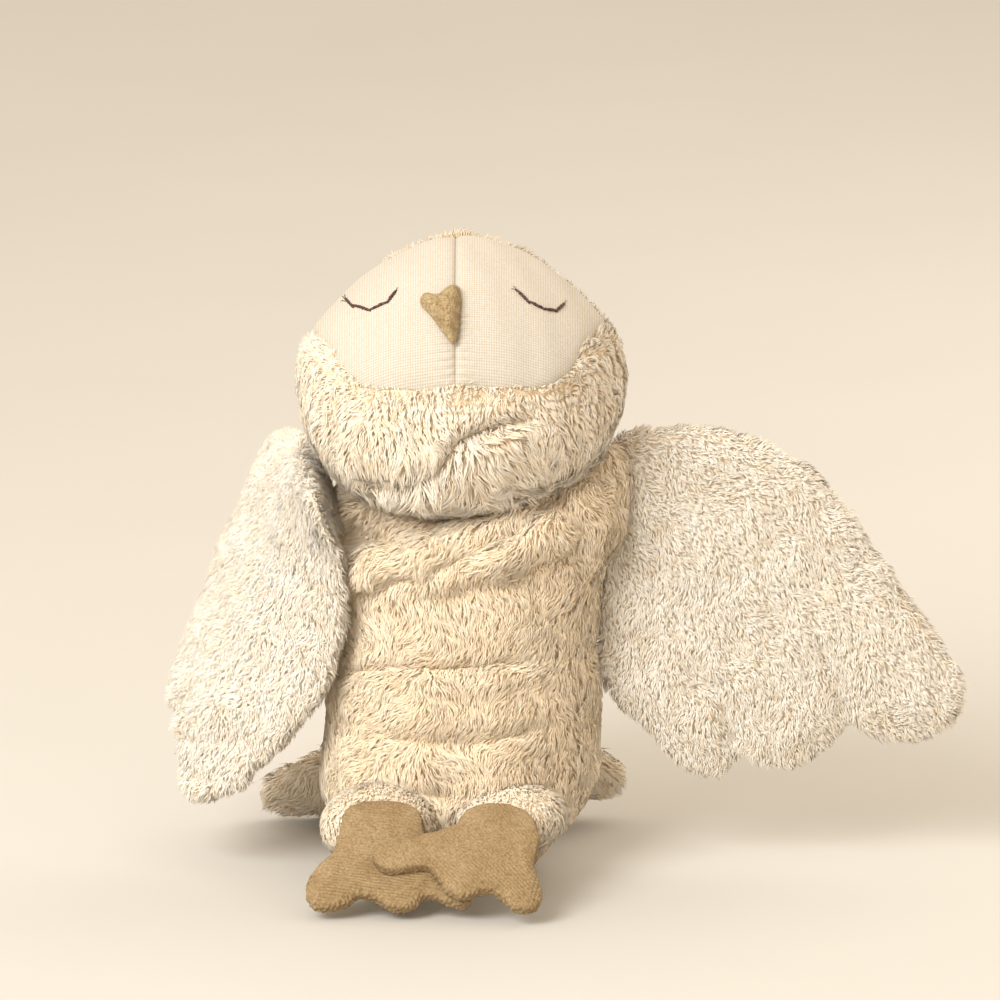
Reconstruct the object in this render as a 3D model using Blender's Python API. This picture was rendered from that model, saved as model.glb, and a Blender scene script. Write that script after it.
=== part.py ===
# A stuffed owl that sits on its seat with one wing spread and one wing hanging.
# Metres, +Z up. The owl faces -Y, so its own left side is at +X. The seat rests on Z = 0.
# Every soft piece is a sewn panel or cover with its wadding, and each moving piece has its
# origin on its own joint.

import math

import bmesh
import bpy
from mathutils import Matrix, Vector

# Driving sizes
CLEARANCE = 0.0003  # between pieces that touch
WALL = 0.006  # pile fabric with its wadding, on body and head
SEAM_EDGE = 0.0012  # half thickness of a panel at its sewn rim
OVERRUN = 0.02  # cutters reach this far past what they cut
SEAT_CUT = 0.0005  # the seat is pressed flat by this much

# Body
BODY_HEIGHT = 0.214
BODY_HALF_WIDTH = 0.0765
BODY_FRONT_DEPTH = 0.057
BODY_BACK_DEPTH = 0.052
SIDE_SEAM_Y = 0.0050  # the covers meet a little behind the middle
BODY_SIDES = 28
BODY_RINGS = 19
CORE_SIDES = 20  # the stuffing and the hollow that it fills
CORE_RINGS = 12
# height, width, front and back shares, from the seat up to the neck, with two belly folds
BODY_PROFILE_SHARES = (
    (0.000, 0.62, 0.64, 0.60),
    (0.045, 0.86, 0.86, 0.84),
    (0.125, 0.98, 0.97, 0.96),
    (0.270, 1.00, 1.00, 1.00),
    (0.395, 0.965, 0.94, 0.99),
    (0.480, 0.975, 1.00, 0.98),
    (0.590, 0.935, 0.92, 0.96),
    (0.700, 0.95, 0.97, 0.92),
    (0.830, 0.98, 0.91, 0.84),
    (0.915, 0.94, 0.76, 0.72),
    (0.970, 0.74, 0.53, 0.54),
    (1.000, 0.34, 0.26, 0.26),
)

# Neck, a stuffed ball between body and head that both turn on
NECK_RADIUS = 0.0245
NECK_Y = 0.002
NECK_RISE = 0.0030  # its centre above the body's top
NECK_PLAY = 0.0006  # its seats are this much wider, so that their facets clear it
NECK_Z = BODY_HEIGHT + NECK_RISE
NECK_SIDES = 18
NECK_RINGS = 10
SEAT_SIDES = 24  # the round seats that it turns in
SEAT_RINGS = 14

# Head
HEAD_X = -0.0015
HEAD_Y = -0.006
HEAD_ABOVE_BODY = 0.0675
HEAD_CENTRE = Vector((HEAD_X, HEAD_Y, BODY_HEIGHT + HEAD_ABOVE_BODY))
HEAD_HALF_WIDTH = 0.0885
HEAD_HALF_DEPTH = 0.0680
HEAD_RISE = 0.0700
HEAD_DROP = 0.0600
HEAD_CROWN_POWER = 1.72  # under 2 slopes the crown like a blunt roof
HEAD_CHIN_POWER = 2.4  # over 2 fills the chin out
HEAD_SIDES = 30
HEAD_RINGS = 18

# Face, two knitted panels that meet in a seam down the middle
FACE_TILT = math.radians(52)  # how far up the face looks
FACE_HALF_WIDTH = 0.0740
FACE_HALF_HEIGHT = 0.0520
FACE_SEAM_X = -0.0050
FACE_SIDES = 28

# Beak, a padded triangle
BEAK_LENGTH = 0.037
BEAK_WIDTH = 0.0235
BEAK_THICKNESS = 0.011  # how far it stands off the face
BEAK_POINTS = 22
BEAK_MIDDLE_SHARE = 0.42  # of its length, where it is thickest
BEAK_TOP_X = -0.0125
BEAK_TOP_TILT = math.radians(60)
BEAK_LEAN = math.radians(4)
BEAK_OUTLINE_SHARES = (
    (0.02, 0.02), (0.34, 0.05), (0.50, 0.22), (0.47, 0.52), (0.36, 0.80), (0.20, 1.00),
    (0.06, 0.90), (-0.16, 0.68), (-0.40, 0.44), (-0.50, 0.26), (-0.34, 0.06),
)

# Eyes, each one thread in long stitches along a closed lid
EYE_WIDTH = 0.0270
EYE_SAG = 0.0085
EYE_THREAD = 0.0018
EYE_TILT = math.radians(49)
EYE_STITCHES = 4
EYE_STITCH_POINTS = 3
EYE_STITCH_RISE = 0.0004
EYE_LEFT_X = 0.0415
EYE_RIGHT_X = -0.0515

# Wings. Both have one outline, given along the wing (span) and across it (chord)
WING_SPAN = 0.2400
WING_CHORD = 0.1740
WING_THICKNESS = 0.0150
WING_LEAD_SHARE = 0.285  # part of the chord that lies ahead of the shoulder
WING_OUTLINE_SHARES = (
    (0.000, 0.285), (0.080, 0.190), (0.150, 0.090), (0.240, 0.035), (0.350, 0.005),
    (0.470, 0.020), (0.600, 0.075), (0.740, 0.140), (0.880, 0.190), (0.970, 0.240),
    (1.000, 0.330), (0.985, 0.430), (0.925, 0.520), (0.850, 0.555), (0.818, 0.560),
    (0.812, 0.680), (0.775, 0.790), (0.725, 0.840), (0.672, 0.842), (0.660, 0.950),
    (0.600, 0.995), (0.535, 0.985), (0.450, 0.960), (0.350, 0.950), (0.283, 0.900),
    (0.190, 0.700), (0.095, 0.490),
)
WING_POINTS = 44
WING_MIDDLE_SHARES = (0.50, 0.16)  # of span and chord, where a wing is thickest
SHOULDER_STAND_OFF = 0.0073  # the spread wing's root outside the body
SHOULDER_RISE = 0.0280  # and above it
SHOULDER_X = BODY_HALF_WIDTH + SHOULDER_STAND_OFF
SHOULDER_Y = 0.006
SHOULDER_Z = BODY_HEIGHT + SHOULDER_RISE
SHOULDER_AXIS_INSET = 0.0075  # the spread wing turns this far outside its root
SPREAD_DROP = math.radians(37.4)  # the spread wing's axis below level
SPREAD_CURVE = 0.016  # how far its tip comes forward
# the hanging wing's line from the shoulder, as outward, forward and downward shares of its
# span, and the turn of its chord from fore-and-aft towards the side
HANGING_LINE_SHARES = (
    (0.000, 0.000, 0.000), (0.040, 0.000, -0.100), (0.090, 0.000, -0.156),
    (0.130, 0.005, -0.085), (0.124, 0.025, 0.060), (0.104, 0.042, 0.215),
    (0.108, 0.048, 0.365), (0.170, 0.040, 0.510), (0.300, 0.020, 0.625),
)
HANGING_TURN = math.radians(55)
HANGING_TURN_SHARES = (0.15, 0.62)
HANGING_CURL = math.radians(30)  # its rear edge wraps back towards the body by this
HANGING_SET_IN = 0.0087  # the hanging wing's root inside the body's widest line
HANGING_SET_DOWN = 0.0140  # and below the body's top
HANGING_SHOULDER_X = HANGING_SET_IN - BODY_HALF_WIDTH
HANGING_SHOULDER_Y = -0.010
HANGING_SHOULDER_Z = BODY_HEIGHT - HANGING_SET_DOWN
HANGING_AXIS_OUT = 0.0120  # the wing lifts about a line this far outside its root
HANGING_AXIS_UP = 0.0120
HANGING_AXIS_X = HANGING_SHOULDER_X - HANGING_AXIS_OUT
HANGING_AXIS_Z = HANGING_SHOULDER_Z + HANGING_AXIS_UP

# Legs, short stuffed cuffs
LEG_RADIUS = 0.0195
LEG_HALF_WIDTH = 0.0285
LEG_REACH = 0.0020  # the front of a cuff swells by this
LEG_REACH_POWER = 6  # and how sharply
LEG_SIDES = 20
LEG_RINGS = 12
HIP_PLAY = 0.0008  # the seat of a cuff is this much wider than the cuff
HIP_SIDES = 28
HIP_RINGS = 14
HIP_DEPTH = 0.0050  # the middle of a cuff behind the body's front
LEG_Y = HIP_DEPTH - BODY_FRONT_DEPTH
LEG_Z = 0.0365
LEG_LEFT_X = 0.0265
LEG_RIGHT_X = -0.0465

# Feet, three padded toes each
FOOT_LENGTH = 0.0790
FOOT_HALF_WIDTH = 0.0470
FOOT_THICKNESS = 0.0125
FOOT_OUTLINE_SHARES = (
    (0.44, 0.00), (0.46, 0.16), (0.55, 0.36), (0.78, 0.56), (0.98, 0.72), (0.99, 0.86),
    (0.82, 0.93), (0.62, 0.870), (0.40, 0.800), (0.34, 0.900), (0.17, 0.98), (0.00, 1.00),
)
FOOT_POINTS = 46
FOOT_MIDDLE_SHARE = 0.55  # of its length, where it is thickest
FOOT_FLAT_SHARE = 0.80  # of its length, where it has come down to its toes
FOOT_BEND_SHARE = 0.5  # how much it bows on the way
ANKLE_GAP = 0.0025  # from a cuff to its foot's root
ANKLE_Y = LEG_Y - LEG_RADIUS - ANKLE_GAP
FOOT_RIGHT_SHIFT = -0.0005  # its ankle from the middle of its cuff
FOOT_RIGHT_ANKLE_X = LEG_RIGHT_X + FOOT_RIGHT_SHIFT
FOOT_RIGHT_ABOVE_HIP = 0.0072
FOOT_RIGHT_ANKLE_Z = LEG_Z + FOOT_RIGHT_ABOVE_HIP
FOOT_RIGHT_YAW = math.radians(-9)
FOOT_RIGHT_REST = 0.0060  # middle height of the toes, on the ground
FOOT_LEFT_SHIFT = -0.0040
FOOT_LEFT_ANKLE_X = LEG_LEFT_X + FOOT_LEFT_SHIFT
FOOT_LEFT_ABOVE_HIP = 0.0082
FOOT_LEFT_ANKLE_Z = LEG_Z + FOOT_LEFT_ABOVE_HIP
FOOT_LEFT_YAW = math.radians(-21)
FOOT_LEFT_REST = 0.0219  # it lies across the other foot
FOOT_LEFT_ROLL = math.radians(17)

# Tail, a scalloped fan that lies behind the seat
TAIL_LENGTH = 0.0945
TAIL_HALF_WIDTH = 0.0960
TAIL_THICKNESS = 0.0140
TAIL_X = -0.0120
TAIL_STAND_OFF = 0.0014  # the middle of its root behind the body
TAIL_Y = BODY_BACK_DEPTH + TAIL_STAND_OFF
TAIL_Z = 0.0815
TAIL_DROP = math.radians(57)
TAIL_OUTLINE_SHARES = (
    (0.34, 0.00), (0.44, 0.16), (0.66, 0.36), (0.92, 0.52), (1.00, 0.66), (0.95, 0.79),
    (0.84, 0.81), (0.70, 0.81), (0.60, 0.92), (0.44, 0.97), (0.31, 0.90), (0.18, 0.98),
    (0.00, 1.00),
)
TAIL_POINTS = 44
TAIL_MIDDLE_SHARE = 0.55  # of its length, where it is thickest

# A padded panel
PANEL_RINGS = 3
WING_PANEL_RINGS = 6
PANEL_CROWN_POWER = 2.6  # over 2 fills it out towards its rim

COLOURS = {
    "cream_pile": ((0.86, 0.78, 0.66), 0.95),
    "cream_knit": ((0.86, 0.80, 0.70), 0.90),
    "olive_velour": ((0.52, 0.38, 0.19), 0.90),
    "brown_thread": ((0.09, 0.03, 0.02), 0.60),
    "fibre_fill": ((0.92, 0.92, 0.90), 1.00),
}


def clear_scene():
    for item in list(bpy.data.objects):
        bpy.data.objects.remove(item, do_unlink=True)


def make_material(name):
    colour, roughness = COLOURS[name]
    material = bpy.data.materials.new(name)
    material.use_nodes = True
    shader = material.node_tree.nodes["Principled BSDF"]
    shader.inputs["Base Color"].default_value = (*colour, 1.0)
    shader.inputs["Roughness"].default_value = roughness
    shader.inputs["Metallic"].default_value = 0.0
    return material


def new_object(name, mesh, material, origin=Vector()):
    """Adds a mesh given in world places, and puts the object's origin at its joint."""
    mesh.transform(Matrix.Translation(-origin))
    part = bpy.data.objects.new(name, mesh)
    part.location = origin
    bpy.context.scene.collection.objects.link(part)
    if material is None:
        part.hide_render = True
        part.display_type = "WIRE"
    else:
        mesh.materials.append(material)
        mesh.shade_smooth()
    return part


def combine(part, tool, operation):
    """Adds an exact Boolean of a cutter to a part."""
    modifier = part.modifiers.new(tool.name, "BOOLEAN")
    modifier.object = tool
    modifier.operation = operation
    modifier.solver = "EXACT"


def spline(points, share, closed):
    """Reads a Catmull-Rom curve through points at a share of its length in points."""
    count = len(points)
    spans = count if closed else count - 1
    along = share * spans
    first = min(int(along), spans - 1)
    t = along - first
    picks = []
    for step in (-1, 0, 1, 2):
        index = first + step
        index = index % count if closed else max(0, min(count - 1, index))
        picks.append(Vector(points[index]))
    a, b, c, d = picks
    return 0.5 * (
        2 * b + (c - a) * t + (2 * a - 5 * b + 4 * c - d) * t**2 + (3 * b - a - 3 * c + d) * t**3
    )


def mesh_from_rings(name, rings, low_cap, high_cap):
    """Skins closed rings of equal length, with a fan of faces to a point at each end.

    The faces are triangles, so that two panels on one curved middle surface keep their gap.
    """
    shape = bmesh.new()
    rows = [[shape.verts.new(point) for point in ring] for ring in rings]
    count = len(rows[0])
    for lower, upper in zip(rows, rows[1:]):
        for i in range(count):
            j = (i + 1) % count
            shape.faces.new((lower[i], lower[j], upper[j]))
            shape.faces.new((lower[i], upper[j], upper[i]))
    low = shape.verts.new(low_cap)
    high = shape.verts.new(high_cap)
    for i in range(count):
        j = (i + 1) % count
        shape.faces.new((low, rows[0][j], rows[0][i]))
        shape.faces.new((high, rows[-1][i], rows[-1][j]))
    bmesh.ops.recalc_face_normals(shape, faces=shape.faces[:])
    mesh = bpy.data.meshes.new(name)
    shape.to_mesh(mesh)
    shape.free()
    return mesh


def body_mesh(name, offset, sides=BODY_SIDES, rings=BODY_RINGS):
    """The bag of the body, grown or shrunk by an offset."""
    floor = -SEAT_CUT if offset >= 0 else -offset
    height = BODY_HEIGHT + offset - floor
    loops = []
    for k in range(rings):
        share = k / (rings - 1)
        level, width, front, back = spline([Vector(row) for row in BODY_PROFILE_SHARES], share, False)
        half_width = BODY_HALF_WIDTH * width + offset
        loop = []
        for i in range(sides):
            angle = 2 * math.pi * i / sides
            depth = BODY_FRONT_DEPTH * front if math.sin(angle) < 0 else BODY_BACK_DEPTH * back
            loop.append((
                half_width * math.cos(angle),
                (depth + offset) * math.sin(angle),
                floor + height * level,
            ))
        loops.append(loop)
    return mesh_from_rings(name, loops, (0, 0, floor), (0, 0, floor + height))


def head_surface(x, tilt, offset):
    """A place on the head, by its x from the middle and its tilt up from straight ahead."""
    up = max(0.0, math.sin(tilt))
    power = 2 + (HEAD_CROWN_POWER - 2) * up * up * (3 - 2 * up)
    across = min(1.0, abs(x) / (HEAD_HALF_WIDTH + offset))
    size = (1 - across**power) ** (1 / power)
    tall = HEAD_RISE if math.sin(tilt) > 0 else HEAD_DROP
    fill = 1.0 if math.sin(tilt) > 0 else 2 / HEAD_CHIN_POWER
    ahead = math.copysign(abs(math.cos(tilt)) ** fill, math.cos(tilt))
    high = math.copysign(abs(math.sin(tilt)) ** fill, math.sin(tilt))
    return HEAD_CENTRE + Vector((
        x,
        -(HEAD_HALF_DEPTH + offset) * size * ahead,
        (tall + offset) * size * high,
    ))


def head_mesh(name, offset, sides=HEAD_SIDES, rings=HEAD_RINGS):
    reach = HEAD_HALF_WIDTH + offset
    loops = []
    for k in range(1, rings):
        x = reach * math.sin(math.pi * (k / rings - 0.5))
        loops.append([head_surface(x, 2 * math.pi * i / sides, offset) for i in range(sides)])
    low = HEAD_CENTRE - Vector((reach, 0, 0))
    high = HEAD_CENTRE + Vector((reach, 0, 0))
    return mesh_from_rings(name, loops, low, high)


def ball_mesh(name, centre, radii, segments, rings, stretch=0.0):
    """An ellipsoid about the X axis through its centre, whose front can swell forward."""
    loops = []
    for k in range(1, rings):
        across = math.pi * (k / rings - 0.5)
        loop = []
        for i in range(segments):
            angle = 2 * math.pi * i / segments
            reach = radii[1] + stretch * max(0.0, -math.cos(angle)) ** LEG_REACH_POWER
            loop.append(centre + Vector((
                radii[0] * math.sin(across),
                reach * math.cos(across) * math.cos(angle),
                reach * math.cos(across) * math.sin(angle),
            )))
        loops.append(loop)
    reach = Vector((radii[0], 0, 0))
    return mesh_from_rings(name, loops, centre - reach, centre + reach)


def prism_mesh(name, outline, frame, low, high):
    """Extrudes a flat outline along the third axis of a frame."""
    rings = [[frame @ Vector((u, v, level)) for u, v in outline] for level in (low, high)]
    return mesh_from_rings(name, rings, frame @ Vector((0, 0, low)), frame @ Vector((0, 0, high)))


def block(name, low, high):
    """A box cutter between two corners."""
    shape = bmesh.new()
    size = Vector(high) - Vector(low)
    middle = (Vector(high) + Vector(low)) / 2
    matrix = Matrix.Translation(middle) @ Matrix.Diagonal((*size, 1.0))
    bmesh.ops.create_cube(shape, size=1.0, matrix=matrix)
    mesh = bpy.data.meshes.new(name)
    shape.to_mesh(mesh)
    shape.free()
    return new_object(name, mesh, None)


def mirrored(outline):
    """Closes an outline given for u >= 0, from its root to its tip, with its mirror image."""
    return list(outline) + [(-u, v) for u, v in reversed(outline[:-1])]


def panel_mesh(name, outline, centre, count, thickness, place, side, rings=PANEL_RINGS):
    """One padded panel on a middle surface, thickest inside and thin at its sewn rim."""
    rim = [spline([Vector((*p, 0)) for p in outline], i / count, True) for i in range(count)]
    middle = Vector((*centre, 0))
    gap = CLEARANCE / 2

    def level(share):
        crown = math.sqrt(1 - share**PANEL_CROWN_POWER)
        return SEAM_EDGE + (thickness / 2 - SEAM_EDGE) * crown

    def ring(share, height):
        spots = [middle.lerp(point, share) for point in rim]
        return [place(spot.x, spot.y, side * height) for spot in spots]

    shares = [(k + 1) / rings for k in range(rings)]
    inner = [ring(share, gap) for share in shares]
    outer = [ring(share, level(share)) for share in reversed(shares)]
    low = place(middle.x, middle.y, side * gap)
    high = place(middle.x, middle.y, side * level(0))
    return mesh_from_rings(name, inner + outer, low, high)


def build_body(materials):
    """Front and back covers round one stuffing, joined at the side seams."""
    size = BODY_HALF_WIDTH + OVERRUN
    top = BODY_HEIGHT + OVERRUN
    core = new_object("body_core_cutter", body_mesh(
        "body_core_cutter", -WALL, CORE_SIDES, CORE_RINGS), None)
    floor = block("floor_cutter", (-size, -size, -OVERRUN), (size, size, 0))
    front_edge = SIDE_SEAM_Y - CLEARANCE / 2
    back_edge = SIDE_SEAM_Y + CLEARANCE / 2
    halves = {
        "body_front": block("back_half_cutter", (-size, front_edge, -OVERRUN), (size, size, top)),
        "body_back": block("front_half_cutter", (-size, -size, -OVERRUN), (size, back_edge, top)),
    }
    covers = []
    for name, other_half in halves.items():
        cover = new_object(name, body_mesh(name, 0), materials["cream_pile"])
        combine(cover, core, "DIFFERENCE")
        combine(cover, other_half, "DIFFERENCE")
        combine(cover, floor, "DIFFERENCE")
        covers.append(cover)
    mesh = body_mesh("body_stuffing", -WALL - CLEARANCE * 2, CORE_SIDES, CORE_RINGS)
    stuffing = new_object("body_stuffing", mesh, materials["fibre_fill"])
    return covers, stuffing


def build_neck(materials, covers, stuffing):
    """A stuffed ball in round seats, so that the head turns and nods freely."""
    centre = Vector((0, NECK_Y, NECK_Z))
    radii = (NECK_RADIUS, NECK_RADIUS)
    neck = ball_mesh("neck_stuffing", centre, radii, NECK_SIDES, NECK_RINGS)
    new_object("neck_stuffing", neck, materials["fibre_fill"], centre)
    radii = (NECK_RADIUS + NECK_PLAY, NECK_RADIUS + NECK_PLAY)
    mesh = ball_mesh("neck_cutter", centre, radii, SEAT_SIDES, SEAT_RINGS)
    seat = new_object("neck_cutter", mesh, None)
    for part in [*covers, stuffing]:
        combine(part, seat, "DIFFERENCE")
    return seat


def face_frame():
    """Looks out of the face: X across, Y up the face, Z outwards."""
    out = Vector((0, -math.cos(FACE_TILT), math.sin(FACE_TILT)))
    across = Vector((1, 0, 0))
    up = out.cross(across)
    axes = Matrix((across, up, out)).transposed().to_4x4()
    return Matrix.Translation(HEAD_CENTRE) @ axes


def face_outline(offset):
    outline = []
    for i in range(FACE_SIDES):
        angle = 2 * math.pi * i / FACE_SIDES
        outline.append((
            (FACE_HALF_WIDTH + offset) * math.cos(angle),
            (FACE_HALF_HEIGHT + offset) * math.sin(angle),
        ))
    return outline


def build_head(materials, neck_seat):
    """A pile cover open at the face, two face panels that close it, and the stuffing."""
    pivot = Vector((0, NECK_Y, NECK_Z))
    core = new_object("head_core_cutter", head_mesh(
        "head_core_cutter", -WALL, CORE_SIDES, CORE_RINGS), None)
    reach = HEAD_HALF_WIDTH + OVERRUN
    window = new_object("face_cutter", prism_mesh(
        "face_cutter", face_outline(CLEARANCE / 2), face_frame(), 0, reach), None)
    plug = new_object("face_limit_cutter", prism_mesh(
        "face_limit_cutter", face_outline(-CLEARANCE / 2), face_frame(), 0, reach), None)

    cover = new_object("head_cover", head_mesh("head_cover", 0), materials["cream_pile"], pivot)
    combine(cover, core, "DIFFERENCE")
    combine(cover, window, "DIFFERENCE")
    combine(cover, neck_seat, "DIFFERENCE")

    low = HEAD_CENTRE - Vector((reach, reach, reach))
    high = HEAD_CENTRE + Vector((reach, reach, reach))
    seam = FACE_SEAM_X
    sides = {
        "face_left": block("face_right_cutter", low, (seam + CLEARANCE / 2, high.y, high.z)),
        "face_right": block("face_left_cutter", (seam - CLEARANCE / 2, low.y, low.z), high),
    }
    for name, other_side in sides.items():
        panel = new_object(name, head_mesh(name, 0), materials["cream_knit"], pivot)
        combine(panel, core, "DIFFERENCE")
        combine(panel, plug, "INTERSECT")
        combine(panel, other_side, "DIFFERENCE")

    mesh = head_mesh("head_stuffing", -WALL - CLEARANCE * 2, CORE_SIDES, CORE_RINGS)
    stuffing = new_object("head_stuffing", mesh, materials["fibre_fill"], pivot)
    combine(stuffing, neck_seat, "DIFFERENCE")


def face_point(x, tilt, offset):
    """A place above the face, square to it, at a given x and tilt up from straight ahead."""
    x -= HEAD_CENTRE.x
    spot = head_surface(x, tilt, 0)
    along = head_surface(x + CLEARANCE, tilt, 0) - head_surface(x - CLEARANCE, tilt, 0)
    step = CLEARANCE / HEAD_RISE
    rising = head_surface(x, tilt + step, 0) - head_surface(x, tilt - step, 0)
    return spot + along.cross(rising).normalized() * offset


def build_beak(materials):
    """A padded triangle that lies on the face and flops to one side of its seam."""
    pivot = Vector((0, NECK_Y, NECK_Z))
    root = face_point(BEAK_TOP_X, BEAK_TOP_TILT, 0)
    tip_tilt = BEAK_TOP_TILT - BEAK_LENGTH / (HEAD_RISE + HEAD_HALF_DEPTH) * 2
    tip = face_point(BEAK_TOP_X, tip_tilt, 0)
    along = (tip - root).normalized()
    across = Vector((1, 0, 0))
    out = along.cross(across).normalized()
    across = out.cross(along).normalized()
    lean = Matrix.Rotation(BEAK_LEAN, 3, out)
    across = lean @ across
    along = lean @ along
    outline = [(u * BEAK_WIDTH, v * BEAK_LENGTH) for u, v in BEAK_OUTLINE_SHARES]
    half = BEAK_LENGTH / 2
    bow = (root + tip) / 2
    middle = face_point(bow.x, (BEAK_TOP_TILT + tip_tilt) / 2, 0)
    crown = (middle - bow).dot(out)

    def place(u, v, height):
        swell = crown * (1 - ((v - half) / half) ** 2) + SEAM_EDGE + CLEARANCE
        return root + across * u + along * v + out * (swell + height)

    centre = (0, BEAK_LENGTH * BEAK_MIDDLE_SHARE)
    mesh = panel_mesh("beak", outline, centre, BEAK_POINTS, 2 * BEAK_THICKNESS, place, 1)
    beak = new_object("beak", mesh, materials["olive_velour"], pivot)
    clear = new_object("beak_seat_cutter", head_mesh("beak_seat_cutter", CLEARANCE), None)
    combine(beak, clear, "DIFFERENCE")


def build_eyes(materials):
    """One thread along each closed lid, in long stitches that dip at their ends."""
    pivot = Vector((0, NECK_Y, NECK_Z))
    radius = EYE_THREAD / 2
    for name, centre_x in (("eye_thread_left", EYE_LEFT_X), ("eye_thread_right", EYE_RIGHT_X)):
        count = EYE_STITCHES * EYE_STITCH_POINTS
        spots = []
        for i in range(count + 1):
            share = 2 * i / count - 1
            x = centre_x + share * EYE_WIDTH / 2
            dip = EYE_SAG * (1 - share**2) / HEAD_RISE
            lift = EYE_STITCH_RISE * abs(math.sin(math.pi * EYE_STITCHES * i / count))
            spots.append(face_point(x, EYE_TILT - dip, radius + CLEARANCE + lift))
        curve = bpy.data.curves.new(name, "CURVE")
        curve.dimensions = "3D"
        curve.bevel_depth = radius
        curve.bevel_resolution = 2
        curve.use_fill_caps = True
        line = curve.splines.new("POLY")
        line.points.add(len(spots) - 1)
        for point, spot in zip(line.points, spots):
            point.co = (*(spot - pivot), 1)
        curve.materials.append(materials["brown_thread"])
        part = bpy.data.objects.new(name, curve)
        part.location = pivot
        bpy.context.scene.collection.objects.link(part)


def wing_outline():
    return [
        (span * WING_SPAN, (chord - WING_LEAD_SHARE) * WING_CHORD)
        for span, chord in WING_OUTLINE_SHARES
    ]


def spread_place(span, chord, height):
    """The spread wing runs from the shoulder to its tip, upper side to the back."""
    along = Vector((math.cos(SPREAD_DROP), 0, -math.sin(SPREAD_DROP)))
    across = Vector((-math.sin(SPREAD_DROP), 0, -math.cos(SPREAD_DROP)))
    forward = SPREAD_CURVE * (span / WING_SPAN) ** 2
    shoulder = Vector((SHOULDER_X, SHOULDER_Y, SHOULDER_Z))
    return shoulder + along * span + across * chord + Vector((0, height - forward, 0))


def hanging_line(share):
    outward, forward, down = spline(HANGING_LINE_SHARES, max(0.0, min(1.0, share)), False)
    return Vector((-outward, -forward, -down)) * WING_SPAN


def hanging_place(span, chord, height):
    """The hanging wing arches over the shoulder and falls beside the body, upper side out."""
    share = span / WING_SPAN
    step = 1 / WING_POINTS
    along = (hanging_line(share + step) - hanging_line(share - step)).normalized()
    first, last = HANGING_TURN_SHARES
    ease = max(0.0, min(1.0, (share - first) / (last - first)))
    turn = HANGING_TURN * ease * ease * (3 - 2 * ease)
    turn -= HANGING_CURL * max(0.0, chord / WING_CHORD) * ease
    across = Vector((-math.sin(turn), math.cos(turn), 0))
    out = across.cross(along).normalized()
    shoulder = Vector((HANGING_SHOULDER_X, HANGING_SHOULDER_Y, HANGING_SHOULDER_Z))
    return shoulder + hanging_line(share) + across * chord + out * height


def build_wings(materials):
    """Two padded panels to a wing, sewn round their rim."""
    outline = wing_outline()
    span_share, chord_share = WING_MIDDLE_SHARES
    centre = (WING_SPAN * span_share, WING_CHORD * chord_share)
    spread_pivot = Vector((SHOULDER_X + SHOULDER_AXIS_INSET, SHOULDER_Y, SHOULDER_Z))
    hanging_pivot = Vector((HANGING_AXIS_X, HANGING_SHOULDER_Y, HANGING_AXIS_Z))
    wings = {
        "wing_left": (spread_place, spread_pivot),
        "wing_right": (hanging_place, hanging_pivot),
    }
    for wing, (place, pivot) in wings.items():
        for face, side in (("upper", 1), ("lower", -1)):
            name = wing + "_" + face
            mesh = panel_mesh(
                name, outline, centre, WING_POINTS, WING_THICKNESS, place, side, WING_PANEL_RINGS)
            new_object(name, mesh, materials["cream_pile"], pivot)


def foot_place(ankle, yaw, roll, rest):
    """A foot runs down from the ankle and lies flat under its toes."""
    ahead = Vector((math.sin(yaw), -math.cos(yaw), 0))
    across = Vector((math.cos(yaw), math.sin(yaw), 0))
    fall = ankle.z - rest

    def drop(v):
        share = max(0.0, min(1.0, v / FOOT_LENGTH / FOOT_FLAT_SHARE))
        bow = FOOT_BEND_SHARE * share * math.sin(2 * math.pi * share) / (2 * math.pi)
        return fall * (share - bow)

    run = math.sqrt(max(FOOT_LENGTH**2 - fall**2, 0.0)) / FOOT_LENGTH

    def place(u, v, height):
        slope = (drop(v + SEAM_EDGE) - drop(v - SEAM_EDGE)) / (2 * SEAM_EDGE)
        share = max(0.0, min(1.0, v / FOOT_LENGTH))
        out = (ahead * slope + Vector((0, 0, run))).normalized()
        sideways = u * math.sin(roll * share)
        spot = ankle + across * u * math.cos(roll * share) + ahead * v * run
        spot.z = ankle.z - drop(v) - sideways
        return spot + out * height

    return place


def build_legs(materials, body_pieces):
    """Short cuffs that turn in round seats in the body, each with a two-piece foot."""
    legs = {
        "leg_left": LEG_LEFT_X,
        "leg_right": LEG_RIGHT_X,
    }
    for name, x in legs.items():
        hip = Vector((x, LEG_Y, LEG_Z))
        radii = (LEG_HALF_WIDTH, LEG_RADIUS)
        mesh = ball_mesh(name, hip, radii, LEG_SIDES, LEG_RINGS, LEG_REACH)
        new_object(name, mesh, materials["cream_pile"], hip)
        radii = (LEG_HALF_WIDTH + HIP_PLAY, LEG_RADIUS + HIP_PLAY)
        mesh = ball_mesh(name + "_cutter", hip, radii, HIP_SIDES, HIP_RINGS)
        seat = new_object(name + "_cutter", mesh, None)
        for part in body_pieces:
            combine(part, seat, "DIFFERENCE")


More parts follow.
